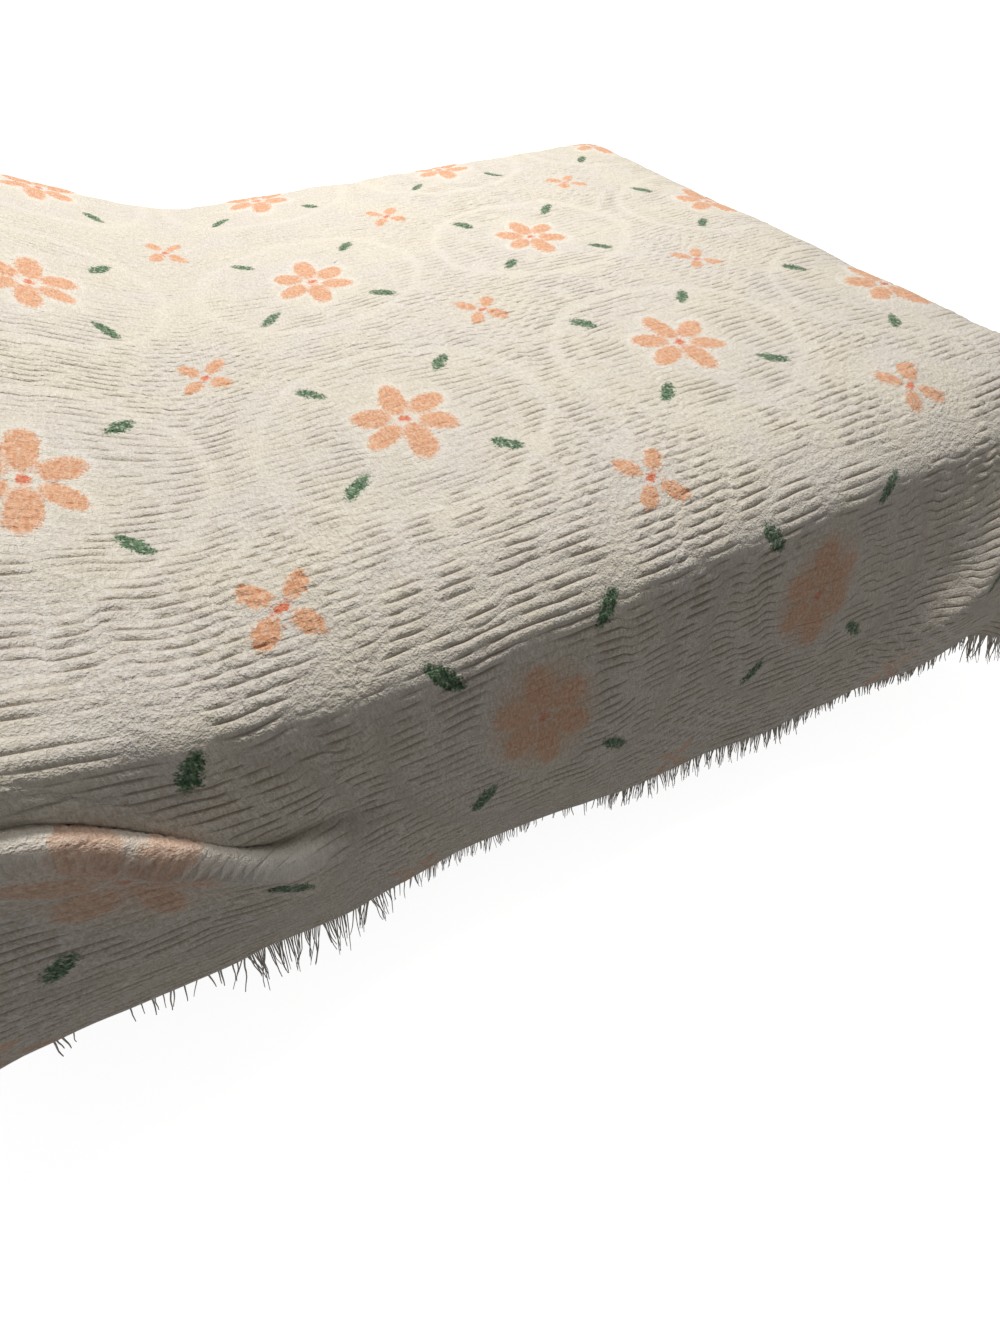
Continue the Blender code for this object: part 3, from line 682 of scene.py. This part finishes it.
def ticking_material():
    """Mattress ticking: off-white twill with thin grey-blue stripes."""
    w = Finish("striped_ticking", 0.85, Sheen_Weight=0.1)
    place = w.place()
    x, y, z = w.node("SeparateXYZ", place).outputs
    slanting = w.math("ADD", x, y)
    stripe = w.math("PINGPONG", slanting, 0.012)
    weave = w.spread(w.math("PINGPONG", w.math("ADD", slanting, z), 0.0008), 0.0, 0.0008)
    colour = w.mix(w.mottle(place, 8.0, 2.0), (214, 208, 196), (200, 194, 182))
    colour = w.mix(w.spread(stripe, 0.0105, 0.0112, 0.0, 0.6), colour, (104, 116, 136))
    colour = w.mix(w.times(weave, 0.15), colour, (164, 158, 148))
    return w.done(colour, weave, 0.4, 0.0005)


def pillow_material():
    """Plain cotton pillowcase."""
    w = Finish("cotton_pillowcase", 0.85, Sheen_Weight=0.15)
    place = w.place()
    weave = w.checker(place, 1100.0)
    crush = w.noise(place, 18.0, 4.0, 0.6)
    colour = w.mix(w.spread(crush, 0.35, 0.65), (232, 230, 224), (220, 218, 212))
    colour = w.mix(w.times(weave, 0.12), colour, (190, 188, 182))
    return w.done(colour, w.math("ADD", crush, w.times(weave, 0.05)), 0.35, 0.002)


CHENILLE = chenille_material()
GROUND = ground_material()
THREAD = thread_material()
WOOD = wood_material()
TICKING = ticking_material()
PILLOWCASE = pillow_material()


# ---- ground cloth

GROUND_LIFT = -0.0006  # its upper face, from the middle of the cloth
GROUND_THICK = 0.0014
GROUND_STEP = 0.016


def ground_cloth():
    """The whole cloth as one thin sheet, its corners rounded with the cut."""
    columns = int(round((FOOT_CUT - CUT_HEAD) / GROUND_STEP))
    rows = int(round(2 * HALF_CUT / GROUND_STEP))
    side = np.linspace(-1, 1, rows + 1) * HALF_CUT
    along, across = np.meshgrid(np.linspace(CUT_HEAD, FOOT_CUT, columns + 1), side)
    a, b = (past / DROP for past in past_edges(along, across))
    along = np.where(a > 0, FLAT_FOOT + DROP * a * np.sqrt(1 - b * b / 2), along)
    across = np.where(b > 0, np.sign(across) * (FLAT_HALF + DROP * b * np.sqrt(1 - a * a / 2)), across)
    piece = sheet_from("bedspread_ground", along, across, np.full(along.shape, GROUND_LIFT), 1.0, {})
    modified(piece, "SOLIDIFY", thickness=GROUND_THICK, offset=-1.0)
    return finished(piece, GROUND, "chenille", "bedspread")


# ---- pile

PILE_BASE = 0.0008  # from the cloth's middle to the foot of the tufts
PILE_TALL = 0.0043
PILE_RIM = 0.001  # how far it stops short of the cut
PLAIN_TALL = 0.93  # shares of that height: where no groove runs,
PARTED_SINK = 0.36  # lost in a channel,
GROOVE_FLOOR = 0.10  # and left in a groove
PETAL_SWELL = 0.0012
# a row's back from one groove to the next: part of the row, share of the height
ROW_SHAPE = ((0.0, 0.0), (0.065, 0.66), (0.17, 0.90), (0.50, 1.0), (0.83, 0.90), (0.935, 0.66))
FAR_ROW_SHAPE = ((0.0, 0.0), (0.12, 0.72), (0.50, 1.0), (0.88, 0.72))

# half sizes of areas round the motifs, in repeats
RING = (0.440, 0.370)  # the flat ring round each big flower
INNER_RING = (0.315, 0.46)
FLOWER_AREA = (0.185, 0.225)
SHORT_ROWS = (0.24, 0.25)  # short tufts round each small flower
SMALL_AREA = (0.085, 0.10)
# dashes of the grooves, in repeats: length, break, seed, stagger
LONG_DASHES = (0.21, 0.016, 21, 0.0)
MIDDLING_DASHES = (0.15, 0.024, 22, 0.0)
SHORT_DASHES = (0.050, 0.022, 23, 1.0)

# wandering gaps that part the rows into short rolls
CHANNEL_HALF = 0.21
CHANNEL_JOG = 0.0063  # how far rows shift across one
CHANNELS_NEAR = (0.30, 0.2)  # towards the near side, to their deepest
CHANNELS_DOWN = (0.68, 0.05)
# where the rows stand up as separate rolls, towards the near side
ROPED_IN = (0.36, 0.14)
ROPED_OUT = (0.72, 0.06)
ROPED_TALLER = 0.28
HUNG = (0.08, 0.05)  # down the drop, where the cloth counts as hanging
WORN_FROM = (-0.32, 0.10)  # along, where the drop's flowers fade most

# the padded roll along the ledge's lip
LIP_TALL = 0.014
LIP_SWELL = 0.009  # taller past its turn
LIP_HALF = 0.85  # half its width, in half widths of the ledge
LIP_ENDS = ((-0.24, -0.08), (-0.80, 0.12))


def dashes(u, row, long, gap, seed, stagger):
    """1 along the grooves of a row and 0 in the breaks between them."""
    luck = np.random.default_rng(seed).uniform(0, 1, (512, 64))
    row = np.broadcast_to(row, u.shape).astype(int) % 512
    cell = long + gap
    turn = u / cell + luck[row, 0] * (1 - stagger) + stagger * 0.5 * (row % 2)
    index = np.floor(turn).astype(int) % 64
    part = turn - np.floor(turn)
    end = long / cell * (0.78 + 0.30 * luck[row, index])
    start = 0.10 * luck[row, (index + 7) % 64]
    soft = 0.006 / cell
    return ramp(part, start, soft) * (1 - ramp(part, end, soft))


def from_flowers(u, v):
    """Where a point is from the nearest big flower and from the nearest small one."""
    return u - np.rint(u), v - np.rint(v), u - np.floor(u) - 0.5, v - np.floor(v) - 0.5


def in_oval(u, v, half):
    """Distance from an oval's middle: 1 on its rim."""
    return np.hypot(u / half[0], v / half[1])


def wander(u, v):
    return 0.020 * noise(u * 7, v * 7, 11)


def ring_distance(u, v):
    """1 on the flat ring round each big flower."""
    return in_oval(*from_flowers(u, v)[:2], RING) + wander(u, v)


def groove_depth(u, v, row, ring):
    """How deep the groove at a row's edge is, from 0 where the pile closes over it to 1."""
    big_u, big_v, small_u, small_v = from_flowers(u, v)
    stray = wander(u, v)
    inner = in_oval(big_u, big_v, INNER_RING) + stray
    flower = in_oval(big_u, big_v, FLOWER_AREA) + stray * 2
    close = in_oval(small_u, small_v, SHORT_ROWS) + stray * 2
    depth = np.where(ring < 1.0, dashes(u, row, *LONG_DASHES), dashes(u, row, *MIDDLING_DASHES))
    depth = np.where((close < 1.0) & (ring > 1.0), dashes(u, row, *SHORT_DASHES), depth)
    depth *= 1 - 0.92 * np.exp(-((ring - 1.0) / 0.045) ** 2)
    depth *= 1 - 0.75 * np.exp(-((inner - 1.0) / 0.045) ** 2) * (ring < 1) * (np.abs(big_v) < 0.26)
    depth *= 0.30 + 0.70 * ramp(flower, 0.92, 0.16)
    for middle, _, _ in LEAVES:
        off = np.hypot(np.abs(big_u) - middle[0], big_v - middle[1])
        depth *= 1 - 0.8 * (1 - ramp(off, 0.025, 0.03))
    petals = in_oval(small_u, small_v, SMALL_AREA)
    depth *= 0.35 + 0.65 * ramp(petals, 0.8, 0.3)
    worn = ramp(noise(u * 3.1, v * 3.3, 31), -0.95, 0.7)
    faint = 0.74 + 0.26 * noise(u * 11, row * 0.71, 32)
    scaled = (1 - ramp(close, 0.9, 0.15)) * (ring > 1.05)
    return depth * np.maximum((0.50 + 0.50 * worn) * faint, 0.85 * scaled)


def channels(u, v):
    """From -1 to 1 over a plane: near 0 in the channels between the short rolls."""
    bent = 0.5 * noise(u * 4.3, v * 6.7, 61)
    return noise(u * 7.3 + bent, v * 5.2, 62)


def lip_roll(along, across):
    """Height of the padded roll along the ledge's lip."""
    off = (-across - FLAT_HALF - ledge_depth(along)) / LEDGE_HALF - 0.2 + 0.6 * ramp(along, -0.42, -0.08)
    tall = LIP_TALL + LIP_SWELL * ramp(along, -0.44, 0.06)
    ends = ramp(along, *LIP_ENDS[0]) * ramp(along, *LIP_ENDS[1])
    return tall * ends * np.exp(-(off / LIP_HALF) ** 2)


def bend(u, v):
    """How far across the rows spread, in metres, to pass round a big flower."""
    big_u, big_v = from_flowers(u, v)[:2]
    strength = 0.011 + 0.005 * noise(np.rint(u) * 1.37, np.rint(v) * 1.71, 43)
    arch = np.exp(-(big_u / 0.24) ** 2) * np.exp(-(big_v / 0.27) ** 2)
    return strength * np.tanh(big_v / 0.10) * arch


def petal_swell(u, v):
    """1 on the petals, which stand a little proud."""
    big_u, big_v, small_u, small_v = np.abs(from_flowers(u, v))
    swell = np.zeros(u.shape)
    for x, y, ovals in ((big_u, big_v, BIG_PETALS), (small_u, small_v, SMALL_PETALS)):
        for middle, half, turn in ovals:
            dx, dy = turned(x - middle[0], y - middle[1], turn)
            swell = np.maximum(swell, 1 - ramp(in_oval(dx, dy, half), 0.7, 0.45))
    return swell


def wobble(u, v, row, along):
    """How far across a row strays, in metres."""
    stray = 0.0016 * noise(u * 9, row / 2.3 + 0 * u, 41)
    stray += 0.0007 * noise(u * 27, row / 1.3 + 0 * u, 42)
    return stray + 0.0045 * noise(u * 2.7, v * 3.1, 44) * ramp(along, -0.10, -0.25)


def pile_panel(name, first_row, last_row, step, shape):
    """Tufted rows between two groove lines, each row with its own rounded back."""
    lines = [(row + part, tall) for row in range(first_row, last_row) for part, tall in shape]
    line, tall = np.array(lines + [(last_row, 0.0)]).T[..., None]
    groove_row = np.floor(line + 0.5)
    side = (line / ROWS - PATTERN_WIDE) * REPEAT_WIDE - FLAT_HALF
    side = np.clip(side, -HALF_CUT + PILE_RIM, HALF_CUT - PILE_RIM)
    columns = int(round((FOOT_CUT - CUT_HEAD) / step))
    length = np.linspace(CUT_HEAD + PILE_RIM, FOOT_CUT - PILE_RIM, columns + 1)
    along, across = np.meshgrid(length, side)
    u, v = repeats(along, across)
    ring = ring_distance(u, v)

    # where the rows run
    inside = ramp(np.abs(across), HALF_CUT, -0.03)
    across += (wobble(u, v, groove_row, along) + bend(u, v)) * inside
    parting = channels(u, v)
    parted = np.exp(-(parting / CHANNEL_HALF) ** 2) * (0.60 + 0.40 * ramp(-across, *CHANNELS_NEAR))
    parted *= 1 - 0.6 * ramp(-across, *CHANNELS_DOWN)
    across += CHANNEL_JOG * ramp(parting, -0.15, 0.30) * inside * ramp(ring, 0.35, 0.15)

    # how deep their grooves are, and how tall they stand
    calm = 0.55 * ramp(along, 0.42, -0.3) * ramp(across, -0.10, 0.25)
    depth = groove_depth(u, v, groove_row, ring) * (1 - parted) * (1 - calm)
    roped = ramp(-across, *ROPED_IN) * (1 - ramp(-across, *ROPED_OUT))
    tall = tall ** (1.25 + 1.35 * roped)
    plain = PLAIN_TALL - PARTED_SINK * parted - (0.46 - 0.20 * parted) * roped
    floor = GROOVE_FLOOR + 0.10 * roped
    height = PILE_TALL * ((floor + (1 - floor) * tall) * depth + plain * (1 - depth))
    height *= 1 + 0.10 * noise(u * 30, v * 60, 51) + 0.06 * noise(u * 90, v * 110, 52)
    height *= 1 + ROPED_TALLER * roped
    lip = lip_roll(along, across)
    height += PETAL_SWELL * petal_swell(u, v) + lip

    # rounded off towards the hems
    down = np.hypot(*past_edges(along, across))
    rim = np.minimum(DROP - down, along - CUT_HEAD)
    height = PILE_BASE + height * ramp(rim, -0.002, 0.010) - 0.0012 * (1 - ramp(rim, 0.0, 0.006))

    hung = ramp(down, *HUNG)
    # the groove mask carries painted shade of the grooves
    masks = {"groove": depth * (1 - tall) * (1 - 0.20 * roped),
             "pebbled": np.maximum(ramp(ring, 1.06, 0.08), parted),
             "ring": np.exp(-((ring - 1.0) / 0.05) ** 2),
             "hung": hung,
             # painted highlight on the ledge's lip, from the lip roll's height
             "crest_highlight": lip / 0.020,
             "faded": hung * (0.35 + 0.65 * ramp(along, *WORN_FROM))}
    return finished(sheet_from(name, along, across, height, -PILE_RIM, masks), CHENILLE, "chenille")


def pile():
    """The pile in panels that meet in the grooves."""
    first = math.ceil((PATTERN_WIDE - DROP / REPEAT_WIDE) * ROWS) - 1
    last = math.floor((PATTERN_WIDE + (2 * FLAT_HALF + DROP) / REPEAT_WIDE) * ROWS) + 1
    return [pile_panel("pile_near_drop", first, 17, 0.0062, ROW_SHAPE),
            pile_panel("pile_near_half", 17, 48, 0.0062, ROW_SHAPE),
            pile_panel("pile_middle", 48, 76, 0.0070, ROW_SHAPE),
            pile_panel("pile_far_half", 76, 112, 0.0085, FAR_ROW_SHAPE),
            pile_panel("pile_far_drop", 112, last, 0.0095, FAR_ROW_SHAPE)]


# ---- hem and fringe

# stretches of the fringed hem and their lengths
HEM = {"near": FLAT_FOOT - CUT_HEAD, "near_corner": DROP * math.pi / 2, "foot": 2 * FLAT_HALF,
       "far_corner": DROP * math.pi / 2, "far": FLAT_FOOT - CUT_HEAD}
HEM_PITCH = 0.012
HEM_ROLL = 0.0032
HEM_SIDES = 8


def hem_path(stretch, spacing):
    """Along, across and the way out of the cloth, for points of a stretch of the hem."""
    size = HEM[stretch]
    count = max(2, int(round(size / spacing)))
    part = (np.arange(count) + 0.5) / count
    side = -1 if "near" in stretch else 1
    x, y, out_x, out_y = FLAT_FOOT, side * FLAT_HALF, 0.0, 1.0
    if stretch == "near":
        x = CUT_HEAD + part * size
    elif stretch == "far":
        x = FLAT_FOOT - part * size
    elif stretch == "foot":
        y, out_x, out_y = part * size - FLAT_HALF, 1.0, 0.0
    else:
        turn = part * math.pi / 2
        turn = math.pi / 2 - turn if side < 0 else turn
        out_x, out_y = np.cos(turn), np.sin(turn)
    out_y = side * out_y
    return np.stack(np.broadcast_arrays(x + DROP * out_x, y + DROP * out_y, out_x, out_y), axis=-1)


def inside_hem(spots, inward):
    """Points of the laid cloth a little in from its hem, and their facings."""
    return laid(spots[:, 0] - spots[:, 2] * inward, spots[:, 1] - spots[:, 3] * inward)


def tubes(name, runs, radii, sides, tip_values=None):
    """Many thin tubes as one mesh, from the points of their middles and their radii there."""
    count, length = runs.shape[0], runs.shape[1]
    ahead = unit(np.gradient(runs, axis=1))
    guide = np.where(np.abs(ahead[..., 2:3]) > 0.9, (1.0, 0.0, 0.0), (0.0, 0.0, 1.0))
    first = unit(np.cross(ahead, np.broadcast_to(guide[:, :1], ahead.shape)))
    second = np.cross(ahead, first)
    around = (2 * math.pi * np.arange(sides) / sides)[None, None, :, None]
    rings = (runs[:, :, None] + radii[:, :, None, None]
             * (first[:, :, None] * np.cos(around) + second[:, :, None] * np.sin(around)))
    point = np.arange(count * length * sides).reshape(count, length, sides)
    after = np.roll(point, -1, axis=2)
    quads = np.stack([point[:, :-1], after[:, :-1], after[:, 1:], point[:, 1:]], axis=-1)
    caps = np.concatenate([point[:, 0, ::-1], point[:, -1]])
    mesh = bpy.data.meshes.new(name)
    mesh.from_pydata(rings.reshape(-1, 3).tolist(), [], quads.reshape(-1, 4).tolist() + caps.tolist())
    made = new_object(mesh)
    if tip_values is not None:
        set_mask(mesh, "tip", np.repeat(tip_values, sides))
    mesh.shade_smooth()
    reworked(mesh, lambda work: bmesh.ops.recalc_face_normals(work, faces=work.faces))
    return made


def hem_edge():
    """The turned edge of the cloth, a soft roll under the last tufts."""
    spots = np.concatenate([hem_path(stretch, HEM_PITCH) for stretch in HEM])
    places, facing = inside_hem(spots, 0.0010)
    places = places + facing * 0.0006
    size = HEM_ROLL * (1 + 0.22 * noise(np.arange(len(spots)) * 0.37, np.zeros(len(spots)), 61))
    piece = tubes("hem_edge", places[None], size[None], HEM_SIDES)
    u, v = (np.repeat(values, HEM_SIDES) for values in repeats(spots[:, 0], spots[:, 1]))
    set_uv(piece.data, piece.data.uv_layers.new(name="UVMap"), u, v)
    return finished(piece, CHENILLE, "chenille")


# how long the threads are left along the near hem, and how many: along, length, share
NEAR_WEAR = ((-0.95, 0.6, 0.4), (-0.60, 0.5, 0.3), (-0.47, 0.5, 0.3), (-0.43, 1.0, 1.0), (-0.34, 1.0, 1.0),
             (-0.29, 0.8, 0.6), (-0.22, 0.5, 0.5), (-0.17, 0.45, 0.9), (-0.08, 0.45, 0.9), (0.0, 0.3, 0.5),
             (0.08, 0.4, 0.6), (0.14, 0.6, 1.0), (0.42, 0.6, 1.0), (0.52, 0.35, 0.7), (0.86, 0.4, 0.6))
THREADS_A_TUFT = 9
TUFT_PITCH = 0.022
TUFTS_MOST = 4096
THREAD_LONG = 0.056
THREAD_STEPS = 7
THREAD_SIDES = 3
THREAD_THICK = (0.00085, 0.00140)
NEAR_LEAN = -0.40  # towards the head


def fringe_threads(stretch, node, seed):
    """Loose wavy threads hanging from one stretch of the hem, in small bunches."""
    luck = np.random.default_rng(seed)
    spots = hem_path(stretch, TUFT_PITCH / THREADS_A_TUFT)
    order = np.arange(len(spots))
    if stretch == "near":
        lean = NEAR_LEAN
        length_here = eased_column(NEAR_WEAR, 1, spots[:, 0])
        share = eased_column(NEAR_WEAR, 2, spots[:, 0])
    else:
        lean = 0.0
        length_here = 0.85 + 0.2 * noise(order * 0.02, np.zeros(len(spots)), seed)
        share = np.full(len(spots), 0.9)
    tuft = order // THREADS_A_TUFT
    inward = (order % THREADS_A_TUFT) / (THREADS_A_TUFT - 1) * 2 - 1
    kept = 0.5 * luck.uniform(0, 1, TUFTS_MOST)[tuft] + 0.5 * luck.uniform(0, 1, len(spots)) < share
    spots, length_here, tuft, inward = spots[kept], length_here[kept], tuft[kept], inward[kept]
    count = len(spots)

    # each thread's direction
    places, facing = inside_hem(spots, 0.002)
    down = unit(places - inside_hem(spots, 0.010)[0])
    aside = np.cross(down, facing)
    aim = down * 0.30 + np.array([lean, 0, -0.55])
    aim += aside * luck.normal(0, 0.06, (count, 1)) + facing * luck.normal(0.78, 0.12, (count, 1))
    aim += aside * (0.17 * inward + 0.10 * luck.normal(0, 1, TUFTS_MOST)[tuft])[:, None]
    aim = unit(aim)

    # its waves
    length = THREAD_LONG * length_here * luck.uniform(0.60, 1.10, count)
    part = np.linspace(0, 1, THREAD_STEPS)
    sway = luck.uniform(0, 2 * math.pi, (count, 2, 1))
    waves = luck.uniform(0.4, 1.3, (count, 2, 1))
    size = luck.uniform(0.01, 0.05, (count, 2, 1)) * length[:, None, None]
    swing = size * (np.sin(waves * 2 * math.pi * part + sway) - np.sin(sway)) * part ** 0.6
    runs = places[:, None] + facing[:, None] * 0.0008
    runs = runs + aim[:, None] * (length[:, None] * part)[..., None]
    runs = runs + aside[:, None] * swing[:, 0][..., None] + facing[:, None] * swing[:, 1][..., None]
    radii = luck.uniform(*THREAD_THICK, (count, 1)) * (1 - 0.55 * part)[None]
    tips = np.broadcast_to(part, (count, THREAD_STEPS))
    return finished(tubes(node + "_threads", runs, radii, THREAD_SIDES, tips), THREAD, "fringe", node)


def fringe():
    return [fringe_threads(stretch, "fringe_" + stretch, 71 + index) for index, stretch in enumerate(HEM)]


# ---- bed

QUILT_PITCH = 0.30
QUILT_SINK = 0.0035
SIDE_PITCH = 0.16  # of the puffs round the mattress's sides
SIDE_PUFF = 0.0030
PILLOW_INSET = 0.003  # keeps the wrinkles under the cloth


def remade(node, name, voxel, change):
    """A CAD solid remade from even cells, with its points changed."""
    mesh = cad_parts[node].data.copy()
    mesh.name = name
    reworked(mesh, lambda work: bmesh.ops.remove_doubles(work, verts=work.verts, dist=0.0001))
    made = new_object(mesh)
    modified(made, "REMESH", mode="VOXEL", voxel_size=voxel)
    modified(made, "SMOOTH", factor=0.6, iterations=4)
    mesh = made.data
    moved = change(read(mesh.vertices, "co", 3), read(mesh.vertices, "normal", 3))
    mesh.vertices.foreach_set("co", moved.ravel())
    mesh.update()
    mesh.shade_smooth()
    return made


def quilted(co, facing):
    """Ticking that sinks a little at each tuft, with puffs round its sides."""
    quilts = np.sin(co[:, 0] * math.pi / QUILT_PITCH) * np.sin((co[:, 1] + 0.1) * math.pi / QUILT_PITCH)
    sink = QUILT_SINK - QUILT_SINK * np.abs(quilts)
    side = ease(1 - np.abs(facing[:, 2]) * 2)
    puff = SIDE_PUFF * np.abs(np.sin((co[:, 0] + co[:, 1]) * math.pi / SIDE_PITCH)) * side
    return co - facing * (sink * (1 - side) + QUILT_SINK * side - puff)[:, None]


def mattress():
    piece = remade("mattress", "mattress_padded", 0.016, quilted)
    finished(piece, TICKING, "ticking", "mattress")


def pillow(node, seed):
    def crushed(co, facing):
        wrinkle = 0.0022 * noise(co[:, 0] / 0.045 + 9, co[:, 1] / 0.06, seed)
        wrinkle += 0.0012 * noise(co[:, 0] / 0.02, co[:, 1] / 0.022, 83)
        return co + facing * (wrinkle - PILLOW_INSET)[:, None]

    piece = remade(node, node + "_case", 0.008, crushed)
    finished(piece, PILLOWCASE, "pillowcase", node)


# ---- everything put together

mattress()
pillow("pillow_near", 81)
pillow("pillow_far", 82)
for node in ("plinth", "platform"):
    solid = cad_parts[node]
    solid.data.materials.clear()
    solid.data.materials.append(WOOD)

ground = ground_cloth()
panels = pile()
edge = hem_edge()
threads = fringe()


# ---- floor, lights, camera

FLOOR_GLOW = 0.90  # the floor as the camera sees it
AIR_LIGHT = 0.150  # light from all round, on the piece
AIR_SEEN = 0.95  # and as the camera sees it
LIGHT_COLOUR = (1.0, 0.978, 0.950)
# name, place, aim, size, watts
LIGHTS = (("key", (0.27, 0.94, 2.87), (0.0, 0.0, 0.5), 0.4, 70),
          ("overhead", (0.70, 0.20, 2.6), (0.70, 0.20, 0.5), 0.7, 12))
EYE = (-0.1484, -0.9185, 0.9435)
EYE_RIGHT = (0.895, -0.446, -0.0092)
EYE_DOWN = (-0.3853, -0.7625, -0.5197)
SENSOR = 36
EYE_LENS = 480 * SENSOR / 1333


def studio_floor():
    bpy.ops.mesh.primitive_grid_add(x_subdivisions=8, y_subdivisions=8, size=60, location=(0, 0, -0.001))
    floor = bpy.context.object
    floor.name = "studio_floor"
    bpy.ops.object.transform_apply()
    w = Finish("pale_floor", 0.9)
    mottle = w.noise(w.place(), 2.0, 2.0)
    w.set("Base Color", w.mix(mottle, (240, 240, 240), (236, 236, 236)))
    seen = w.node("LightPath").outputs["Is Camera Ray"]
    w.set("Emission Color", (1.0, 1.0, 1.0, 1.0))
    w.set("Emission Strength", w.times(seen, FLOOR_GLOW))
    floor.data.materials.append(w.material)
    floor.select_set(False)


def lights():
    world = bpy.data.worlds.new("studio_air")
    bpy.context.scene.world = world
    world.use_nodes = True
    air = Wiring(world.node_tree)
    background = world.node_tree.nodes["Background"]
    background.inputs["Color"].default_value = (1.0, 0.965, 0.95, 1.0)
    seen = air.node("LightPath").outputs["Is Camera Ray"]
    air.feed(background.inputs["Strength"], air.spread(seen, 0.0, 1.0, AIR_LIGHT, AIR_SEEN))
    for name, place, aim, size, watts in LIGHTS:
        light = bpy.data.lights.new(name, "AREA")
        apply_settings(light, {"shape": "DISK", "size": size, "energy": watts, "color": LIGHT_COLOUR})
        lamp = new_object(light)
        lamp.location = place
        lamp.rotation_euler = (Vector(aim) - Vector(place)).to_track_quat("-Z", "Y").to_euler()


def viewpoint():
    camera = bpy.data.cameras.new("viewpoint")
    camera.lens = EYE_LENS
    camera.sensor_width = SENSOR
    camera.clip_start = 0.02
    right = Vector(EYE_RIGHT).normalized()
    ahead = right.cross(Vector(EYE_DOWN)).normalized()
    down = ahead.cross(right).normalized()
    axes = Matrix((right, -down, -ahead)).transposed()
    eye = new_object(camera)
    eye.matrix_world = Matrix.Translation(EYE) @ axes.to_4x4()
    bpy.context.scene.camera = eye
    bpy.context.scene.view_settings.view_transform = "Standard"


studio_floor()
lights()
viewpoint()
